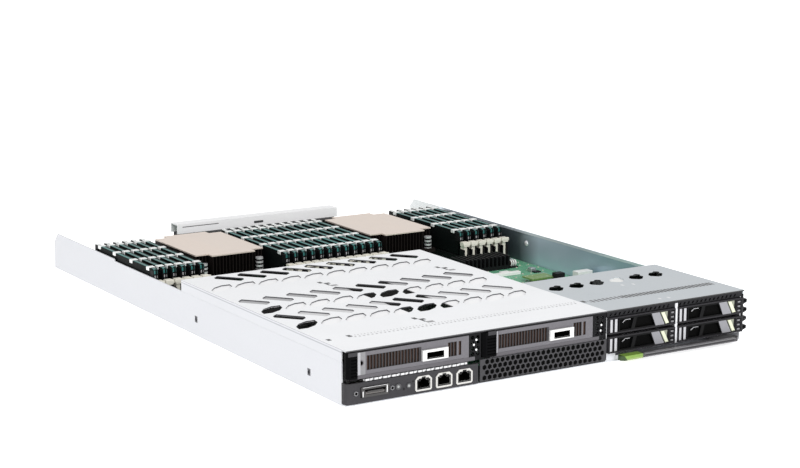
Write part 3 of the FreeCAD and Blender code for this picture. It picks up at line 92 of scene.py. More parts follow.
def added(tree, kind, settings):
    """A shader node with these values on its sockets."""
    node = tree.nodes.new(kind)
    for socket, value in settings.items():
        node.inputs[socket].default_value = value
    return node


def mapped(tree, stretch):
    """Places on the piece, stretched for grain that follows it."""
    coords = tree.nodes.new("ShaderNodeTexCoord")
    mapping = added(tree, "ShaderNodeMapping", {"Scale": stretch})
    tree.links.new(coords.outputs["Object"], mapping.inputs["Vector"])
    return mapping.outputs["Vector"]


def worked(tree, operation, *values):
    """Arithmetic on textures and places."""
    node = tree.nodes.new("ShaderNodeMath")
    node.operation = operation
    for value, socket in zip(values, node.inputs):
        if isinstance(value, (int, float)):
            socket.default_value = value
        else:
            tree.links.new(value, socket)
    return node.outputs[0]


def noise(tree, vector, scale, detail=3.0):
    texture = added(tree, "ShaderNodeTexNoise", {"Scale": scale, "Detail": detail})
    tree.links.new(vector, texture.inputs["Vector"])
    return texture.outputs["Fac"]


def ramp(tree, factor, stops):
    """Colours by the places of their stops along the factor."""
    node = tree.nodes.new("ShaderNodeValToRGB")
    elements = node.color_ramp.elements
    while len(elements) < len(stops):
        elements.new(0.5)
    for element, (place, colour) in zip(elements, stops):
        element.position = place
        element.color = colour
    tree.links.new(factor, node.inputs["Fac"])
    return node.outputs["Color"]


def over(tree, factor, paint, colour):
    """Lays a colour over the paint where the factor says."""
    node = tree.nodes.new("ShaderNodeMix")
    node.data_type = "RGBA"
    tree.links.new(factor, node.inputs["Factor"])
    tree.links.new(paint, node.inputs["A"])
    node.inputs["B"].default_value = shaded(colour)
    return node.outputs["Result"]


def ranged(tree, factor, low, high):
    """Spreads the middle of a noise between two values."""
    node = added(tree, "ShaderNodeMapRange", {
        "From Min": NOISE_LOW, "From Max": NOISE_HIGH, "To Min": low, "To Max": high,
    })
    tree.links.new(factor, node.inputs["Value"])
    return node.outputs["Result"]


def bumped(tree, factor, shader, strength):
    node = added(tree, "ShaderNodeBump", {"Strength": strength, "Distance": GRAIN_DEPTH})
    tree.links.new(factor, node.inputs["Height"])
    tree.links.new(node.outputs["Normal"], shader.inputs["Normal"])


def surface(
    name, colour, rough=0.45, metal=0.0, tint=0.05, grain=900.0, relief=0.15,
    stretch=(1, 1, 1), gloss=0.5, marks=None,
):
    """A finish with mottled colour, uneven gloss, fine grain and worn spots."""
    made, tree, shader = new_material(name)
    vector = mapped(tree, stretch)
    fine = noise(tree, vector, grain)
    broad = noise(tree, vector, grain / COARSER, 2.0)
    mottle = worked(tree, "MULTIPLY", worked(tree, "ADD", fine, broad), 0.5)
    worn = 1 - 2 * tint if max(colour) > PALE else 1 + 4 * tint
    paint = ramp(tree, mottle, (
        (0.3, shaded(colour, 1 - tint)),
        (0.62, shaded(colour, 1 + tint)),
        (0.7, shaded(colour, worn)),
    ))
    if marks:
        paint = marks(tree, paint)
    tree.links.new(paint, shader.inputs["Base Color"])
    uneven = ranged(tree, broad, rough - UNEVEN, rough + UNEVEN)
    tree.links.new(uneven, shader.inputs["Roughness"])
    shader.inputs["Metallic"].default_value = metal
    shader.inputs["Specular IOR Level"].default_value = gloss
    bumped(tree, fine, shader, relief)
    return made


def dark(name, colour, rough=0.5, tint=0.15, gloss=0.12, **more):
    """A dull dark finish."""
    return surface(name, colour, rough, tint=tint, gloss=gloss, **more)


def circuit_board(name, colour, track):
    """Solder mask with lighter tracks and small pads."""
    made, tree, shader = new_material(name)
    vector = mapped(tree, (1, 1, 1))
    brick = added(tree, "ShaderNodeTexBrick", {
        "Scale": 160.0, "Mortar Size": 0.06, "Brick Width": 1.7, "Row Height": 0.22,
        "Color1": shaded(colour, 0.82), "Color2": shaded(colour, 1.08), "Mortar": shaded(track),
    })
    tree.links.new(vector, brick.inputs["Vector"])
    pads = added(tree, "ShaderNodeTexVoronoi", {"Scale": 190.0})
    tree.links.new(vector, pads.inputs["Vector"])
    spots = ramp(tree, pads.outputs["Distance"], ((0.10, (1, 1, 1, 1)), (0.16, (0, 0, 0, 1))))
    paint = over(tree, spots, brick.outputs["Color"], (0.62, 0.66, 0.58))
    tree.links.new(paint, shader.inputs["Base Color"])
    uneven = ranged(tree, noise(tree, vector, 220.0), 0.28, 0.5)
    tree.links.new(uneven, shader.inputs["Roughness"])
    shader.inputs["Specular IOR Level"].default_value = 0.3
    bumped(tree, brick.outputs["Fac"], shader, 0.2)
    return made


class Plan:
    """Masks for places on a piece, in millimetres."""

    def __init__(self, tree):
        self.tree = tree
        coords = tree.nodes.new("ShaderNodeTexCoord")
        place = tree.nodes.new("ShaderNodeSeparateXYZ")
        normal = tree.nodes.new("ShaderNodeSeparateXYZ")
        tree.links.new(coords.outputs["Object"], place.inputs["Vector"])
        tree.links.new(coords.outputs["Normal"], normal.inputs["Vector"])
        self.x = place.outputs["X"]
        self.y = place.outputs["Y"]
        self.z = place.outputs["Z"]
        steep = worked(tree, "ABSOLUTE", normal.outputs["Z"])
        self.upright = worked(tree, "LESS_THAN", steep, 0.5)
        self.facing_left = worked(tree, "LESS_THAN", normal.outputs["X"], -0.5)

    def patch(self, low, high):
        """A rectangle seen from above."""
        middle = (at(*low, 0) + at(*high, 0)) / 2
        half = (at(*high, 0) - at(*low, 0)) / 2
        across = worked(self.tree, "COMPARE", self.x, middle.x, half.x)
        along = worked(self.tree, "COMPARE", self.y, middle.y, half.y)
        return worked(self.tree, "MULTIPLY", across, along)

    def level(self, low, high):
        """A layer between two heights."""
        middle = (low + high) / 2 * MM
        return worked(self.tree, "COMPARE", self.z, middle, (high - low) / 2 * MM)

    def left_of(self, low, high):
        """Places to the left of a slanted line through two points seen from the front."""
        lean = (high[0] - low[0]) / (high[1] - low[1])
        shifted = worked(self.tree, "MULTIPLY_ADD", self.z, -lean, self.x)
        return worked(self.tree, "LESS_THAN", shifted, at(low[0] - lean * low[1], 0, 0).x)

    def slope(self, none, full):
        """A rise along the depth that is nought at one place and one at the other."""
        start = at(0, none, 0).y
        run = at(0, full, 0).y - start
        return worked(self.tree, "MULTIPLY_ADD", self.y, 1 / run, -start / run)

    def held(self, factor, most):
        """A factor held between nought and its highest share."""
        return worked(self.tree, "MINIMUM", worked(self.tree, "MAXIMUM", factor, 0.0), most)

    def both(self, first, second):
        return worked(self.tree, "MULTIPLY", first, second)

    def any(self, masks):
        total = masks[0]
        for mask in masks[1:]:
            total = worked(self.tree, "MAXIMUM", total, mask)
        return total

    def beat(self, pitch, level):
        """Stripes across the sheet, wider for a lower level."""
        turn = worked(self.tree, "MULTIPLY", self.x, math.tau / (pitch * MM))
        return worked(self.tree, "GREATER_THAN", worked(self.tree, "SINE", turn), level)


def left_cover_marks(tree, paint):
    """Painted shade on the walls of the cut-outs and on the folded flange and its folds, a dark
    lip, perforations and lanced tabs.
    """
    plan = Plan(tree)
    wide, deep = span("left_cover")[1][:2]
    rim = 2
    inside = plan.patch((rim, rim), (wide - rim, deep - rim))
    # Painted shade on the walls of the cut-outs.
    paint = over(tree, plan.both(inside, plan.upright), paint, (0.09, 0.09, 0.10))
    # Painted shade on the face of the flange, and darker painted shade along its two folds.
    flange = plan.both(plan.patch((-PAST, -PAST), (0.5, deep + PAST)), plan.upright)
    paint = over(tree, flange, paint, (0.64, 0.65, 0.68))
    folds = plan.any([plan.level(43.2, 44.3), plan.level(45.5, 46.2)])
    paint = over(tree, plan.both(flange, folds), paint, (0.44, 0.45, 0.48))
    lip = plan.both(plan.patch((-PAST, -PAST), (wide + PAST, 0.4)), plan.upright)
    paint = over(tree, lip, paint, (0.06, 0.06, 0.065))
    row_left, row_right = 29, 253
    rows = [
        plan.both(plan.beat(4.0, 0.2), plan.patch((row_left, 35.5), (row_right, 38.0))),
        plan.both(plan.beat(3.1, 0.5), plan.patch((row_left, 40.5), (row_right, 42.5))),
    ]
    paint = over(tree, plan.any(rows), paint, (0.46, 0.46, 0.47))
    tabs = [plan.patch((4.6, 36.2), (8.2, 41.4)), plan.patch((24.8, 38.2), (28.6, 44.2))]
    tails = []
    for across, along in ((105.6, 216.0), (231.5, 215.0), (106.7, 56.5)):
        tabs += [
            plan.patch((across - 5.6, along + 4.0), (across - 1.8, along + 10.5)),
            plan.patch((across - 2.4, along - 0.5), (across + 3.4, along + 4.0)),
            plan.patch((across - 2.4, along - 6.5), (across - 0.2, along + 4.0)),
        ]
        tails.append(plan.patch((across - 1.6, along - 11.0), (across + 5.6, along - 6.0)))
    paint = over(tree, plan.any(tails), paint, (0.30, 0.30, 0.31))
    return over(tree, plan.any(tabs), paint, (0.05, 0.05, 0.055))


def liner_marks(tree, paint):
    """The sheet is shaded where it lies under the two rows of narrow slots."""
    plan = Plan(tree)
    right = span("cover_liner")[1][0] + PAST
    paint = over(tree, plan.patch((-PAST, 171.5), (right, 202.5)), paint, (0.44, 0.44, 0.45))
    return over(tree, plan.patch((-PAST, 108.5), (right, 137.5)), paint, (0.66, 0.66, 0.67))


def right_cover_marks(tree, paint):
    """Painted shade on the walls of the cut-outs, a dark front edge, a dark line of perforations
    and four bright rivets.
    """
    plan = Plan(tree)
    low, high = span("right_cover")
    rim = 2
    back = high[1] - rim
    # Painted shade on the walls of the cut-outs, and a dark front edge.
    edges = plan.any([
        plan.patch((low[0] + rim, rim), (327, back)),
        plan.patch((351, rim), (high[0] - rim, back)),
        plan.patch((low[0] - PAST, -PAST), (high[0] + PAST, 0.4)),
    ])
    paint = over(tree, plan.both(edges, plan.upright), paint, (0.03, 0.03, 0.03))
    faint = plan.both(plan.beat(4.4, -0.2), plan.patch((264, 31.5), (300, 39.5)))
    paint = over(tree, faint, paint, (0.10, 0.10, 0.11))
    bold = plan.both(plan.beat(4.0, -0.6), plan.patch((300, 30.5), (402, 39.5)))
    bold = plan.any([bold, plan.patch((258.2, 35.0), (261.8, 41.5))])
    paint = over(tree, bold, paint, (0.02, 0.02, 0.022))
    rivets = [
        plan.patch((across - 1.2, along - 2.0), (across + 1.2, along + 2.0))
        for across, along in ((324, 13), (333, 12), (329, 72), (340, 70))
    ]
    return over(tree, plan.any(rivets), paint, (0.82, 0.83, 0.84))


def strip_marks(tree, paint):
    """The side strip is dark, and the front strip is bright on its fingers' crests, with painted
    shade between the fingers and along two lines.
    """
    plan = Plan(tree)
    shade = (0.035, 0.035, 0.038)
    paint = over(tree, worked(tree, "GREATER_THAN", plan.x, 0.0), paint, shade)
    top = span("front_frame")[0][2]
    # Painted shade in the narrow gaps between the fingers.
    dips = plan.both(plan.beat(4.1, 0.75), plan.level(top - 4, top + PAST))
    paint = over(tree, dips, paint, (0.26, 0.26, 0.27))
    # Painted shade along two lines, above and below the fingers' crests.
    edges = plan.any([plan.level(top - 3.2, top - 2.2), plan.level(top - 0.6, top + 0.5)])
    return over(tree, edges, paint, shade)


def frame_marks(tree, paint):
    """The bars under the card brackets are grey like the brackets."""
    plan = Plan(tree)
    bottom = span("front_frame")[0][2]
    bars = plan.any([plan.patch((11, -PAST), (122, 13)), plan.patch((137, -PAST), (249, 13))])
    bars = plan.both(bars, plan.level(bottom - 0.5, bottom + 3.1))
    return over(tree, bars, paint, (0.115, 0.110, 0.120))


def bracket_marks(tree, paint):
    """Painted shade on the slots' walls, and the strips between the slots painted darker."""
    plan = Plan(tree)
    low, high = span("pcie_brackets")
    face = low[1] + 0.05
    # Painted shade on the walls of the slots.
    walls = plan.patch((low[0] - PAST, face), (high[0] + PAST, high[1] + PAST))
    paint = over(tree, walls, paint, (0.020, 0.016, 0.015))
    # The strips between the slots are painted darker.
    fields = plan.any([
        plan.patch((card + left, low[1] - PAST), (card + right, face))
        for card in (0.0, CARD_PITCH)
        for left, right in ((19.4, 70.4), (95.8, 104.6))
    ])
    strips = plan.both(fields, plan.level(low[2] + 3.2, high[2] - 3.2))
    return over(tree, strips, paint, (0.040, 0.038, 0.041))


def wall_marks(tree, paint):
    """The right wall's inner face is bluish, with painted light further back and painted shade and
    reflection beside the memory.

    Its top edge has a painted highlight, its rear is pale, and its front end is dark.
    """
    plan = Plan(tree)
    low, high = span("right_wall")
    left, right = low[0] - PAST, high[0] + PAST
    inner = plan.facing_left
    paint = over(tree, worked(tree, "MULTIPLY", inner, 0.85), paint, (0.38, 0.52, 0.63))
    # Painted light on the inner face, rising towards the back.
    painted_light = plan.held(plan.slope(205, 275), 0.9)
    paint = over(tree, plan.both(painted_light, inner), paint, (0.64, 0.77, 0.90))
    # Painted shade and a painted reflection of the memory on the inner face beside it.
    painted_memory_shade = worked(tree, "MINIMUM", plan.slope(312, 350), plan.slope(520, 430))
    paint = over(tree, plan.both(plan.held(painted_memory_shade, 0.9), inner), paint, (0.045, 0.065, 0.070))
    # Painted highlight along the top edge.
    paint = over(tree, plan.level(high[2] - 2.6, high[2] + PAST), paint, (0.84, 0.92, 1.0))
    rear = plan.patch((left, 500), (right, high[1] + PAST))
    paint = over(tree, rear, paint, (0.72, 0.74, 0.75))
    return over(tree, plan.patch((left, -PAST), (right, 13)), paint, (0.02, 0.02, 0.022))


def tray_marks(tree, paint):
    """Dark keyhole tails above the guide holes of the left wall."""
    plan = Plan(tree)
    tails = [
        plan.both(plan.patch((-PAST, along - 2.6), (PAST, along + 2.6)), plan.level(12.4, 18.4))
        for along in (60.4, 270.0)
    ]
    return over(tree, plan.any(tails), paint, (0.07, 0.07, 0.08))


def handle_marks(node):
    """The recessed left of a drive's handle is black, its tip grey."""
    low, high = span(node)

    def marks(tree, paint):
        recess = Plan(tree).left_of((low[0] + 40.6, low[2]), (low[0] + 35.0, high[2]))
        return over(tree, recess, paint, (0.004, 0.004, 0.0045))

    return marks


def release_marks(node):
    """The right edge of a release is black."""
    low, high = span(node)

    def marks(tree, paint):
        rest = Plan(tree).left_of((high[0] - 3.2, low[2]), (high[0] - 2.2, high[2]))
        return over(tree, worked(tree, "SUBTRACT", 1.0, rest), paint, (0.005, 0.005, 0.0055))

    return marks


def grip_marks(tree, paint):
    """Painted shade on the grip's left end and a painted highlight along its lower edge."""
    plan = Plan(tree)
    low, high = span("ejector_grip")
    # Painted highlight along the lower edge.
    paint = over(tree, plan.level(low[2] - PAST, low[2] + 1.4), paint, (0.27, 0.35, 0.13))
    # Painted shade on the left end.
    end = plan.left_of((low[0] + 6.0, low[2]), (low[0] + 2.6, high[2]))
    return over(tree, end, paint, (0.025, 0.055, 0.008))


# Finishes by material slot
looks = {
    "tray_metal": surface(
        "tray_metal", (0.63, 0.64, 0.67), 0.42, tint=0.02, relief=0.05, marks=tray_marks,
    ),
    "wall_metal": surface(
        "wall_metal", (0.58, 0.68, 0.73), 0.32, metal=0.5, tint=0.06, stretch=(1, 0.2, 1),
        marks=wall_marks,
    ),
    "cover_white": surface(
        "cover_white", (0.90, 0.91, 0.93), 0.40, tint=0.02, relief=0.05, marks=left_cover_marks,
    ),
    "liner_white": surface("liner_white", (0.92, 0.92, 0.93), 0.65, tint=0.03, marks=liner_marks),
    "cover_grey": surface(
        "cover_grey", (0.54, 0.58, 0.61), 0.36, metal=0.2, tint=0.03, relief=0.06,
        marks=right_cover_marks,
    ),
    "panel_dark": dark("panel_dark", (0.040, 0.039, 0.043), 0.45, 0.10),
    "frame_dark": dark("frame_dark", (0.009, 0.009, 0.010), 0.42, gloss=0.06, marks=frame_marks),
    "mesh_dark": dark("mesh_dark", (0.040, 0.039, 0.043), 0.42, gloss=0.3),
    "strip_dark": dark("strip_dark", (0.016, 0.016, 0.018), 0.42),
    "bracket_brown": surface(
        "bracket_brown", (0.140, 0.135, 0.148), 0.40, metal=0.3, tint=0.08, gloss=0.3,
        marks=bracket_marks,
    ),
    "clip_grey": dark("clip_grey", (0.003, 0.003, 0.0034), gloss=0.02),
    "board_green": circuit_board("board_green", (0.052, 0.30, 0.145), (0.20, 0.47, 0.31)),
    "port_white": surface("port_white", (0.74, 0.74, 0.735), 0.35, tint=0.03),
    "jack_ivory": surface("jack_ivory", (0.55, 0.54, 0.52), 0.35, tint=0.04),
    "video_metal": surface("video_metal", (0.050, 0.048, 0.048), 0.32, metal=0.3, tint=0.08),
    "button_grey": dark("button_grey", (0.060, 0.060, 0.064), 0.35, 0.10, 0.4),
    "cage_steel": surface(
        "cage_steel", (0.66, 0.67, 0.69), 0.30, metal=0.5, tint=0.06, stretch=(1, 0.1, 1),
    ),
    "carrier_grey": dark("carrier_grey", (0.022, 0.021, 0.024), 0.42, 0.12),
    "drive_shell": surface("drive_shell", (0.52, 0.53, 0.54), 0.35, metal=0.8, tint=0.06),
    "lever_dark": dark("lever_dark", (0.060, 0.058, 0.062), 0.38, 0.12, 0.35),
    "grip_green": surface("grip_green", (0.17, 0.29, 0.045), 0.38, tint=0.12, marks=grip_marks),
    "pin_steel": surface("pin_steel", (0.66, 0.66, 0.64), 0.30, metal=0.5, tint=0.06),
    "standoff_brass": surface("standoff_brass", (0.62, 0.46, 0.18), 0.32, metal=0.9, tint=0.08),
    "contact_silver": surface(
        "contact_silver", (0.64, 0.64, 0.65), 0.28, metal=0.3, tint=0.05, marks=strip_marks,
    ),
    "socket_black": dark("socket_black", (0.007, 0.007, 0.008)),
    "chip_metal": surface("chip_metal", (0.62, 0.62, 0.62), 0.30, metal=0.9, tint=0.05),
    "fin_brown": dark("fin_brown", (0.013, 0.010, 0.0095), gloss=0.05, stretch=(8, 1, 0.2)),
    "plate_copper": surface(
        "plate_copper", (0.80, 0.69, 0.61), 0.34, metal=0.25, tint=0.04, stretch=(1, 0.05, 1),
    ),
    "module_teal": dark("module_teal", (0.004, 0.0055, 0.0055), 0.55, 0.25, 0.05),
    "latch_ivory": surface("latch_ivory", (0.85, 0.82, 0.72), 0.40, tint=0.05),
    "sink_black": dark("sink_black", (0.007, 0.007, 0.008)),
    "mezzanine_olive": circuit_board("mezzanine_olive", (0.14, 0.25, 0.07), (0.24, 0.37, 0.14)),
    "connector_black": dark("connector_black", (0.010, 0.010, 0.011)),
}

# Finishes of single nodes, in place of their slot's
own_looks = {
    "pcie_cards": circuit_board("card_dark", (0.010, 0.014, 0.012), (0.03, 0.03, 0.03)),
    "riser_cards": circuit_board("riser_dark", (0.010, 0.016, 0.012), (0.03, 0.04, 0.03)),
    "drive_backplane": circuit_board("backplane_dark", (0.008, 0.014, 0.011), (0.02, 0.03, 0.02)),
    "io_board": circuit_board("io_board_dark", (0.006, 0.014, 0.010), (0.015, 0.025, 0.02)),
    "rear_bridge": surface("bridge_white", (0.94, 0.94, 0.95), 0.50, tint=0.02, relief=0.05),
    "heatsink_screws": dark("screw_dark", (0.020, 0.019, 0.019), 0.4),
}
for number in DRIVES:
    for kind, colour, rough, tint, marks in (
        ("handle", (0.27, 0.27, 0.29), 0.38, 0.06, handle_marks),
        ("release", (0.25, 0.26, 0.21), 0.40, 0.08, release_marks),
    ):
        node = f"{kind}_{number}"
        own_looks[node] = surface(
            f"{node}_grey", colour, rough, tint=tint, gloss=0.1, marks=marks(node),
        )

# Finishes of the pieces made here
deep_black = dark("deep_black", (0.003, 0.003, 0.003), 0.6, gloss=0.02)
silver = surface("silver", (0.80, 0.80, 0.81), 0.28, metal=0.4, tint=0.05)
dull_silver = surface("dull_silver", (0.46, 0.46, 0.48), 0.32, metal=0.4, tint=0.06)
dim_silver = surface("dim_silver", (0.22, 0.22, 0.23), 0.35, metal=0.4, tint=0.08)
ear_silver = surface("ear_silver", (0.38, 0.38, 0.40), 0.30, metal=0.4, tint=0.06)
white_clip = surface("white_clip", (0.84, 0.86, 0.85), 0.32, metal=0.1, tint=0.05)
teal_edge = surface("teal_edge", (0.030, 0.150, 0.140), 0.35, tint=0.35, grain=500.0, gloss=0.4)
cream = surface("cream", (0.66, 0.69, 0.52), 0.40, tint=0.05)
gold = surface("gold", (0.75, 0.55, 0.22), 0.25, metal=1.0, tint=0.06)
chip_black = dark("chip_black", (0.012, 0.012, 0.013))
nylon_white = surface("nylon_white", (0.84, 0.84, 0.82), tint=0.03)
# Black for the sheet that stands in for the shade on the board under the cover.
shade_sheet_black = dark("shade_sheet_black", (0.006, 0.0055, 0.005), 0.6, gloss=0.05)
lens_grey = surface("lens_grey", (0.30, 0.31, 0.31), 0.2, tint=0.08)
shadow_grey = dark("shadow_grey", (0.020, 0.020, 0.021))
warm_grey = surface("warm_grey", (0.105, 0.097, 0.094), 0.5, tint=0.10)
rust_brown = dark("rust_brown", (0.060, 0.036, 0.028), gloss=0.2)

for entry in frame["record"]["subparts"]:
    node = entry["node"]
    look = own_looks[node] if node in own_looks else looks[entry["material_slot"]]
    for material_slot in nodes[node].material_slots:
        material_slot.material = look


# Mesh building


def linked(name, data):
    """A new object in the scene."""
    made = bpy.data.objects.new(name, data)
    bpy.context.scene.collection.objects.link(made)
    return made


class Build:
    """Gathers bevelled boxes, rods and prisms into one mesh, in millimetres from its zero."""

    def __init__(self, zero=(0, 0, 0)):
        self.mesh = bmesh.new()
        self.zero = zero

    def place(self, x, y, z):
        return at(self.zero[0] + x, self.zero[1] + y, self.zero[2] + z)

    def box(self, low, high, bevel=0.0):
        corners = bmesh.ops.create_cube(self.mesh, size=1.0)["verts"]
        low = self.place(*low)
        high = self.place(*high)
        for corner in corners:
            corner.co = (low + high) / 2 + corner.co * (high - low)
        if bevel:
            edges = list({edge for corner in corners for edge in corner.link_edges})
            bmesh.ops.bevel(
                self.mesh, geom=edges, offset=bevel * MM, segments=2, profile=0.5, affect="EDGES",
            )

    def rod(self, start, end, radius, sides=16, tip=None):
        """A round bar, narrowed to the radius of its tip where one is given."""
        start = self.place(*start)
        end = self.place(*end)
        along = end - start
        turn = along.to_track_quat("Z", "Y").to_matrix().to_4x4()
        bmesh.ops.create_cone(
            self.mesh, cap_ends=True, segments=sides, radius1=radius * MM,
            radius2=(radius if tip is None else tip) * MM, depth=along.length,
            matrix=Matrix.Translation((start + end) / 2) @ turn,
        )

    def dome(self, centre, radius, flat, axis):
        """A rivet head: a flattened ball that stands on a face."""
        scale = [1.0, 1.0, 1.0]
        scale["XYZ".index(axis)] = flat
        bmesh.ops.create_uvsphere(
            self.mesh, u_segments=14, v_segments=8, radius=radius * MM,
            matrix=Matrix.Translation(self.place(*centre)) @ Matrix.Diagonal((*scale, 1.0)),
        )

    def prism(self, outline, near, far):
        """An outline seen from the front, carried from one depth to another."""
        first = [self.mesh.verts.new(self.place(across, near, up)) for across, up in outline]
        second = [self.mesh.verts.new(self.place(across, far, up)) for across, up in outline]
        self.mesh.faces.new(first)
        self.mesh.faces.new(list(reversed(second)))
        count = len(outline)
        for k in range(count):
            other = (k + 1) % count
            self.mesh.faces.new((first[k], second[k], second[other], first[other]))

    def done(self, name, material, slot, body="chassis"):
        bmesh.ops.recalc_face_normals(self.mesh, faces=self.mesh.faces)
        data = bpy.data.meshes.new(name)
        self.mesh.to_mesh(data)
        self.mesh.free()
        data.materials.append(material)
        piece = linked(name, data)
        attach(piece, body)


# Memory and processors


def module_centres(edges=4):
    """Mid-lines of the memory modules, from the four places across where each has corners."""
    corners = nodes["memory_modules"].data.vertices
    places = sorted({round(corner.co.x, 5) for corner in corners})
    groups = [places[k:k + edges] for k in range(0, len(places), edges)]
    return [(sum(group) / edges - LEFT) / MM for group in groups]


MODULES = module_centres()


def dress_memory():
    """Clips over the spreaders, coloured edges between them and dark noses in front."""
    low, high = span("memory_modules")
    front, top = low[1], high[2]
    length = high[1] - front
    clips, edges, noses, tabs = Build(), Build(), Build(), Build()
    for centre in MODULES:
        for share in (0.10, 0.39, 0.69, 0.965):
            clips.zero = (centre, front + length * share, top)
            clips.box((-3.5, -2.9, -2.8), (3.5, 2.9, 0.7), 0.5)
        edges.zero = noses.zero = tabs.zero = (centre, front, top)
        for start, end in ((0.13, 0.36), (0.42, 0.66), (0.72, 0.94)):
            edges.box((-2.4, length * start, -1.0), (0.5, length * end, 0.3), 0.2)
        noses.box((-2.75, 0.6, -11.0), (2.75, 9.0, -0.5), 1.2)
        edges.box((-2.0, 1.8, -2.0), (2.0, 8.5, 0.1), 0.7)
        edges.box((-2.2, 0.4, -4.6), (1.4, 2.2, -1.0), 0.5)
        tabs.box((-1.7, 0.3, -8.4), (1.3, 0.9, -5.8), 0.25)
    clips.done("memory_clips", white_clip, "port_white")
    edges.done("memory_edges", teal_edge, "module_teal")
    noses.done("memory_noses", looks["socket_black"], "socket_black")
    tabs.done("memory_tabs", dull_silver, "contact_silver")


def dress_latches():
    """Wide heads on the front latches, and finger tabs with pale tops on the rear ones."""
    low, high = span("front_latches")
    heads = Build()
    for centre in MODULES:
        heads.zero = (centre, low[1], high[2])
        heads.box((-4.3, -0.3, -2.8), (4.3, 2.0, 0.3), 0.3)
    heads.done("front_latch_heads", looks["latch_ivory"], "latch_ivory", "front_latch")
    low, high = span("rear_latches")
    front, back = low[1], high[1]
    top = span("memory_modules")[1][2]
    tabs, caps = Build(), Build()
    for centre in MODULES:
        tabs.zero = caps.zero = (centre, 0, 0)
        tabs.box((-2.3, front + 1.0, high[2] - 0.5), (2.3, back - 0.4, top), 0.9)
        caps.box((-1.9, front + 1.8, top - 1.5), (1.9, back - 1.0, top + 0.6), 0.6)
    tabs.done("rear_latch_tabs", looks["socket_black"], "socket_black", "rear_latch")
    caps.done("rear_latch_caps", white_clip, "port_white", "rear_latch")


def dress_heat_sinks():
    """Coil springs round the screws at the corners of both heat sinks."""
    low, high = span("heatsink_plates")
    bottom = span("heatsink_fins")[0][2] + 3.0
    half_sink, to_screw, inset = 37.0, 30.5, 4.5
    radius, wire, pitch = 3.9, 1.8, 3.8
    springs = Build()
    for centre in (low[0] + half_sink, high[0] - half_sink):
        for across in (centre - to_screw, centre + to_screw):
            for along in (low[1] + inset, high[1] - inset):
                springs.zero = (across, along, bottom)
                for turn in range(4):
                    springs.rod((0, 0, turn * pitch), (0, 0, turn * pitch + wire), radius)
    springs.done("sink_springs", silver, "pin_steel")


# Front


def spaced(count, pitch):
    """Places side by side, about a middle."""
    return [(k - (count - 1) / 2) * pitch for k in range(count)]


def dress_jacks():
    """Dark linings, gold contacts and shaded steps round the mouths of the network jacks."""
    low, high = span("rj45_jacks")
    width = 15.7
    pitch = (high[0] - low[0] - width) / 2
    proud, sunk = -0.1, 0.02
    near, back = 0.4, 13.9
    # Half a mouth's outline: inner and outer end, bottom and top of each step from the jack's base
    steps = ((5.5, 6.3, 2.6, 9.2), (3.02, 6.3, 8.42, 9.6), (3.02, 4.8, 9.6, 10.5),
             (1.78, 3.02, 9.52, 10.5))
    # Half a lining: middle, half width, bottom and top of each wall from the mouth's floor
    walls = ((5.4, 0.1, 0.0, 5.8), (4.25, 1.2, 5.65, 5.8), (3.0, 0.08, 5.7, 6.9),
             (2.4, 0.64, 6.78, 6.94), (1.74, 0.08, 6.8, 7.98))
    lining, wires, faces = Build(), Build(), Build()
    for k in range(3):
        centre = low[0] + width / 2 + k * pitch
        faces.zero = (centre, low[1], low[2])
        faces.box((-6.3, proud, 1.5), (6.3, sunk, 2.6))
        faces.box((-1.78, proud, 10.5), (1.78, sunk, 11.7))
        lining.zero = wires.zero = (centre, low[1], low[2] + 2.6)
        lining.box((-5.45, back - 0.3, 0.05), (5.45, back, 5.75))
        lining.box((-5.5, near, 0.02), (5.5, back, 0.2))
        for side in SIDES:
            for inner, outer, base, top in steps:
                left, right = sorted((side * inner, side * outer))
                faces.box((left, proud, base), (right, sunk, top))
            for middle, half, base, top in walls:
                wall = side * middle
                lining.box((wall - half, near, base), (wall + half, back, top))
        lining.box((-1.7, near, 7.85), (1.7, back, 7.98))
        for across in spaced(8, 1.02):
            wires.rod((across, 8.0, 0.4), (across, back - 0.6, 2.0), 0.2, 8)
    lining.done("jack_linings", deep_black, "socket_black")
    wires.done("jack_contacts", gold, "standoff_brass")
    faces.done("jack_faces", shadow_grey, "socket_black")


def dress_card_ports():
    """Dark linings and a tongue with gold contacts inside the two card ports."""
    low, high = span("pcie_ports")
    half_port = 12.2
    near, back = 0.5, 19.5
    lining, pads = Build(), Build()
    for centre in (low[0] + half_port, high[0] - half_port):
        lining.zero = pads.zero = (centre, low[1], low[2] + 2.0)
        lining.box((-8.15, back - 0.3, 0.05), (8.15, back, 4.75))
        lining.box((-8.2, -0.08, -0.8), (8.2, 0.02, 0.0))
        for level in (0.02, 4.66):
            lining.box((-8.15, near, level), (8.15, back, level + 0.12))
        for side in SIDES:
            wall = side * 8.12
            lining.box((wall - 0.07, near, 0.02), (wall + 0.07, back, 4.78))
        lining.box((-6.6, near + 5, 1.9), (6.6, back, 2.9), 0.15)
        for across in spaced(10, 1.2):
            pads.box((across - 0.25, near + 5.3, 2.88), (across + 0.25, back - 4, 2.98))
    lining.done("port_linings", deep_black, "socket_black")
    pads.done("port_contacts", gold, "standoff_brass")


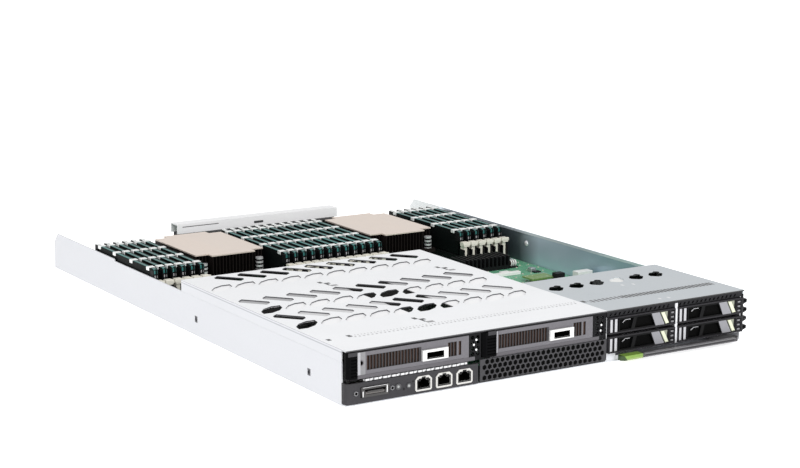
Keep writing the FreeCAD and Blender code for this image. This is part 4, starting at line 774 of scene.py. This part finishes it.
def dress_video_port():
    """Jack screws beside the video port, its dark inside, its tongue and silver strips on its rim
    that are painted highlights.
    """
    low = span("video_port")[0]
    middle = low[2] + 6.75
    posts, hollows = Build(), Build()
    for across in (8.5, 42.0):
        posts.zero = hollows.zero = (across, 0, middle)
        posts.rod((0, 0.0, 0), (0, -0.9, 0), 2.0, 6)
        posts.rod((0, -0.9, 0), (0, -1.1, 0), 1.7, 12)
        hollows.rod((0, -1.12, 0), (0, -1.0, 0), 1.2, 12)
    posts.done("video_posts", dim_silver, "pin_steel")
    hollows.done("video_hollows", deep_black, "socket_black")
    mouth = (0, low[1], middle)
    lining = Build(mouth)
    lining.box((17.2, 5.8, -2.1), (35.2, 5.95, 2.1))
    for level in (-2.1, 2.0):
        lining.box((17.3, 0.3, level), (35.0, 5.9, level + 0.1))
    lining.done("video_lining", deep_black, "socket_black")
    tongue = Build(mouth)
    tongue.box((17.5, 0.35, -2.0), (34.8, 5.8, -0.1), 0.2)
    tongue.done("video_tongue", warm_grey, "socket_black")
    # Silver strips on the top and sides of the rim are painted highlights.
    rim = Build(mouth)
    rim.box((14.6, -0.05, 3.65), (37.8, 0.4, 3.95), 0.08)
    rim.box((36.6, -0.05, -2.6), (37.5, 0.4, 3.3), 0.1)
    rim.box((14.4, -0.05, -3.6), (15.2, 0.4, 1.0), 0.1)
    rim.done("video_rim_highlights", silver, "pin_steel")


def dress_panel():
    """Small lights, caps of buttons and card clips, rivets and a black screen behind the mesh that
    stands in for the shade inside.
    """
    lenses = Build()
    for across, up, out, radius in ((53.3, 7.8, 0.35, 0.9), (61.9, 13.0, 0.3, 0.7)):
        lenses.rod((across, 0.2, up), (across, -out, up), radius, 12)
    lenses.done("panel_lenses", shadow_grey, "button_grey")
    for body, node in (("power", "power_button"), ("identify", "id_button")):
        low, high = span(node)
        cap = Build(((low[0] + high[0]) / 2, low[1], (low[2] + high[2]) / 2))
        cap.rod((0, 0.05, 0), (0, -0.12, 0), 1.2, 20, 0.9)
        cap.done(f"{node}_cap", lens_grey, "button_grey", body)
    heads = Build()
    for across, up in ((121.0, 34.8), (123.4, 38.7), (123.4, 30.4), (250.6, 29.6), (251.3, 34.4)):
        heads.dome((across, 1.05, up), 1.0, 0.3, "Y")
    heads.done("frame_rivets", silver, "pin_steel")
    for side in ("left", "right"):
        low, high = span(f"pcie_latch_{side}")
        cap = Build((high[0], low[1], high[2]))
        cap.box((-8.4, -0.15, -3.6), (-0.5, 0.6, -0.4), 0.2)
        cap.done(f"pcie_latch_{side}_cap", looks["panel_dark"], "panel_dark", f"clip_{side}")
    # A black screen behind the mesh stands in for the shade inside the tray.
    low, high = span("mesh_grille")
    back = high[1]
    screen = Build()
    screen.box((low[0] + 0.4, back, low[2] + 0.3), (high[0] - 0.4, back + 0.3, high[2] - 0.3))
    screen.done("mesh_shade_screen", deep_black, "mesh_dark")


def dress_brackets():
    """Bright screw ears on the card brackets, and what shows behind their slots."""
    low, high = span("pcie_brackets")
    bottom, top = low[2], high[2]
    near, face, back = low[1] - 0.15, low[1], high[1]
    ear_end, plate_end = 13.7, 18.2
    ears = Build()
    ears.box((low[0], near, bottom), (ear_end, face, top), 0.06)
    ears.box((CARD_PITCH + 16.7, near, bottom + 0.1), (CARD_PITCH + 18.4, face, top - 0.1), 0.05)
    ears.done("bracket_ears", ear_silver, "contact_silver")
    plates = Build()
    plates.prism(
        ((ear_end, bottom), (plate_end, bottom), (plate_end, top), (ear_end, top), (ear_end, 37.2),
         (15.0, 37.0), (16.6, 35.6), (16.6, 33.4), (15.0, 32.0), (ear_end, 31.8)),
        near, face,
    )
    plates.done("bracket_plates", dim_silver, "contact_silver")
    screens = Build()
    for card in (0.0, CARD_PITCH):
        screens.zero = (card, back, 0)
        for left, right in ((19.4, 70.2), (95.8, 109.4)):
            screens.box((left, 0.6, bottom + 2.9), (right, 0.9, top - 2.9))
    screens.done("bracket_screens", rust_brown, "socket_black")


# Drives and lever


def dress_carrier(number):
    """Bright ribs at the left of a carrier, louvres at its right and dark hollow floors."""
    low, high = span(f"carrier_{number}")
    sled = f"sled_{number}"
    tall = high[2] - low[2]
    ribs = Build(low)
    for left, right in ((1.1, 3.5), (5.9, 8.5)):
        ribs.box((left, -0.2, 1.6), (right, 0.5, tall - 1.6), 0.15)
    ribs.done(f"carrier_{number}_ribs", dull_silver, "contact_silver", sled)
    hollow = Build(low)
    hollow.box((66.9, 1.2, 1.5), (71.9, 1.5, tall - 1.5))
    hollow.box((9.4, 5.9, 1.4), (66.1, 6.15, tall - 1.4))
    hollow.done(f"carrier_{number}_hollows", deep_black, "socket_black", sled)
    louvres = Build(low)
    for level in (2.2, 6.2, 10.2):
        louvres.box((67.6, -0.1, level), (70.6, 0.6, level + 1.5), 0.2)
    louvres.done(f"carrier_{number}_louvres", dim_silver, "handle_grey", sled)


def dress_handle(number):
    """Dark floors in the two hollows of a handle, and bright lines in the left one that are
    painted highlights.
    """
    low, high = span(f"handle_{number}")
    pull = f"pull_{number}"
    base, top = 2.1, high[2] - low[2] - 2.1
    reach = 44.1
    floors = Build(low)
    for outline in (
        ((0.9, base), (reach * 0.298, base), (reach * 0.357, top), (0.9, top)),
        ((reach * 0.39, base), (reach * 0.886, base), (reach * 0.783, top), (reach * 0.449, top)),
    ):
        floors.prism(outline, 2.2, 2.55)
    floors.done(f"handle_{number}_hollows", deep_black, "socket_black", pull)
    # Painted highlights: a slanted and a short bright line.
    highlights = Build(low)
    slant = ((5.0, top - 3.4), (6.0, top - 3.4), (9.0, top - 1.4), (8.0, top - 1.4))
    highlights.prism(slant, 2.0, 2.25)
    highlights.box((8.0, 2.0, top - 1.6), (14.0, 2.25, top - 1.1))
    highlights.done(f"handle_{number}_lines", dull_silver, "handle_grey", pull)


def dress_release(number):
    """A pale slanted bar on a release."""
    low, high = span(f"release_{number}")
    base, top = 0.7, high[2] - low[2] - 0.4
    bar = Build(low)
    bar.prism(((5.6, base), (9.2, base), (4.0, top), (0.5, top)), -0.25, 0.1)
    bar.done(f"release_{number}_bar", cream, "latch_ivory", f"button_{number}")


def dress_ejector():
    """Bright lines along the front of the lever and one along its top, all painted highlights."""
    low, high = span("ejector_lever")
    left, right = low[0] + 13.0, high[0] - 6.0
    face, top = low[1], high[2]
    # Painted highlights along the front of the lever.
    highlights = Build()
    for level in (top - 0.75, low[2] + 0.35):
        highlights.box((left, face - 0.12, level), (right, face + 0.1, level + 0.45), 0.05)
    highlights.done("lever_highlights", dim_silver, "handle_grey", "lever")
    # Painted highlight along the top of the lever.
    ridge = Build()
    ridge.box((left, face + 0.9, top - 0.1), (right, face + 1.9, top + 0.08), 0.05)
    ridge.done("lever_top_highlight", dull_silver, "handle_grey", "lever")


# Tray and boards


def dress_tray():
    """A lip under the drive bays, rivets, the bridge's slits and a sheet in the right cover."""
    lip = Build()
    lip.box((258.0, 2.4, 1.1), (268.0, 3.1, 7.3), 0.1)
    lip.box((267.5, 2.4, 1.1), (331.4, 3.1, 5.0), 0.1)
    lip.done("bay_lip", looks["tray_metal"], "tray_metal")
    heads = Build()
    for along, up in ((20.0, 11.0), (12.0, 8.7)):
        heads.dome((0.12, along, up), 1.1, 0.1, "X")
    heads.done("wall_rivets", looks["pin_steel"], "pin_steel")
    stud = Build()
    stud.dome((span("right_wall")[1][0] - 1.3, 333.6, 30.0), 3.0, 0.5, "X")
    stud.done("right_wall_stud", silver, "pin_steel")
    left_foot, right_foot, cage_end = 6.0, 404.0, 130
    feet = Build()
    for along in range(30, 560, 60):
        for across in (left_foot, right_foot) if along > cage_end else (left_foot,):
            feet.dome((across, along, 2.4), 1.8, 0.4, "Z")
    feet.done("foot_rivets", looks["pin_steel"], "pin_steel")
    low, high = span("rear_bridge")
    slits = Build((low[0], low[1], high[2]))
    slits.box((6.0, -0.05, -3.6), (48.0, 0.3, -2.8))
    slits.box((90.0, -0.05, -7.5), (101.0, 0.3, -5.0))
    slits.done("bridge_slits", looks["button_grey"], "button_grey")
    film = Build((0, 0, span("right_cover")[1][2]))
    film.box((327.5, 80.5, -1.8), (350.0, 105.5, -1.0))
    film.done("right_cover_film", nylon_white, "liner_white")


# Left edge, front edge, width, depth and height of parts on the board
CHIPS = (
    (300, 300, 12, 12, 1.2), (330, 150, 18, 18, 1.6), (285, 220, 14, 10, 1.4),
    (390, 150, 10, 16, 1.4), (310, 190, 9, 6, 1.2), (360, 205, 16, 16, 1.6),
    (275, 170, 6, 9, 1.2), (378, 238, 10, 8, 9.0), (265, 330, 8, 12, 1.2),
    (290, 345, 10, 6, 1.2), (320, 265, 8, 8, 1.2), (385, 285, 8, 6, 1.2),
)
HEADERS = (
    (386, 214, 18, 9, 14.0), (340, 288, 30, 6, 3.0), (300, 240, 26, 5, 6.0),
    (262, 140, 5, 22, 7.0), (352, 296, 10, 5, 2.5),
)
CHOKES = tuple(
    (left, front, 6.5, 6.5, 4.0) for left, front in (
        (330, 232), (384, 290), (305, 320), (312, 330), (298, 330), (378, 262), (390, 340),
    )
)
SMALL_PARTS = tuple(
    (262 + step * 9 + (row * 5) % 7, 134 + row * 15 + (step * 7) % 9, 1.6, 0.9, 0.7)
    for row in range(14) for step in range(16)
)


def on_board(parts, bevel=0.0):
    made = Build((0, 0, BOARD))
    for left, front, wide, deep, tall in parts:
        made.box((left, front, 0), (left + wide, front + deep, tall), bevel)
    return made


def dress_board():
    """A black sheet at the left of the board that is painted shade under the cover, and the parts
    in the open area.
    """
    # A black sheet stands in for the shade on the board under the cover.
    on_board([(6, 130, 246, 220, 0.3)]).done("board_shade_sheet", shade_sheet_black, "socket_black")
    on_board(CHIPS, 0.2).done("board_chips", chip_black, "socket_black")
    cans = Build((0, 0, BOARD))
    for across in (262, 270, 278, 286):
        for along in (240, 252, 264):
            cans.rod((across, along, 0), (across, along, 5.5), 2.4, 16, 2.3)
    cans.done("board_capacitors", silver, "pin_steel")
    on_board(HEADERS, 0.3).done("board_headers", nylon_white, "latch_ivory")
    on_board(CHOKES, 0.5).done("board_chokes", looks["drive_shell"], "drive_shell")
    on_board(SMALL_PARTS).done("board_small_parts", looks["plate_copper"], "plate_copper")


def dress_choke():
    """A wound choke on its foot, in front of the right memory bank."""
    foot = Build((0, 0, BOARD))
    foot.box((377.5, 316.5, -0.1), (386.5, 325.5, 1.6), 0.3)
    foot.done("choke_foot", chip_black, "socket_black")
    axis = (0, 321.0, BOARD + 4.4)
    core = Build(axis)
    core.rod((378.2, 0, 0), (385.8, 0, 0), 2.9, 20)
    core.done("choke_core", rust_brown, "connector_black")
    turns = Build(axis)
    for left in (379.0, 381.5, 384.0):
        turns.rod((left, 0, 0), (left + 1.3, 0, 0), 3.4, 20)
    turns.done("choke_turns", nylon_white, "port_white")


dress_memory()
dress_latches()
dress_heat_sinks()
dress_jacks()
dress_card_ports()
dress_video_port()
dress_panel()
dress_brackets()
for number in DRIVES:
    dress_carrier(number)
    dress_handle(number)
    dress_release(number)
dress_ejector()
dress_tray()
dress_board()
dress_choke()


# Studio


def pale_floor():
    """A plain sheet just under the tray."""
    half, drop = 6, 0.4 * MM
    corners = [(-half, -half, 0), (half, -half, 0), (half, half, 0), (-half, half, 0)]
    sheet = bpy.data.meshes.new("floor")
    sheet.from_pydata(corners, [], [(0, 1, 2, 3)])
    paper = surface("paper", (0.92, 0.92, 0.92), 0.9, tint=0.01, grain=60.0, relief=0.01)
    shader = paper.node_tree.nodes["Principled BSDF"]
    shader.inputs["Emission Color"].default_value = (1, 1, 1, 1)
    shader.inputs["Emission Strength"].default_value = 0.7
    sheet.materials.append(paper)
    floor = linked("floor", sheet)
    floor.location = (0, 0, -drop)


def studio_light():
    """An even white surrounding and one soft lamp from the front."""
    world = bpy.data.worlds.new("studio")
    bpy.context.scene.world = world
    world.use_nodes = True
    backdrop = world.node_tree.nodes["Background"]
    backdrop.inputs["Color"].default_value = (1.0, 1.0, 1.0, 1.0)
    backdrop.inputs["Strength"].default_value = 0.75
    lamp = bpy.data.lights.new("front", "AREA")
    lamp.energy = 60.0
    lamp.size = 2.0
    light = linked("front", lamp)
    light.location = (-0.5, -3.0, 1.6)
    light.rotation_euler = (-light.location).to_track_quat("-Z", "Y").to_euler()


def photo_camera():
    """The photograph's viewpoint, solved from the edges of the tray."""
    down, turn = 11.346, -31.618
    data = bpy.data.cameras.new("photo")
    data.sensor_width = 36.0
    data.lens = 87.234
    camera = linked("photo", data)
    camera.location = at(-733.85, -1272.51, 434.53)
    camera.rotation_euler = (math.radians(90 - down), 0, math.radians(turn))
    bpy.context.scene.camera = camera


pale_floor()
studio_light()
photo_camera()
bpy.context.scene.view_settings.view_transform = "Standard"
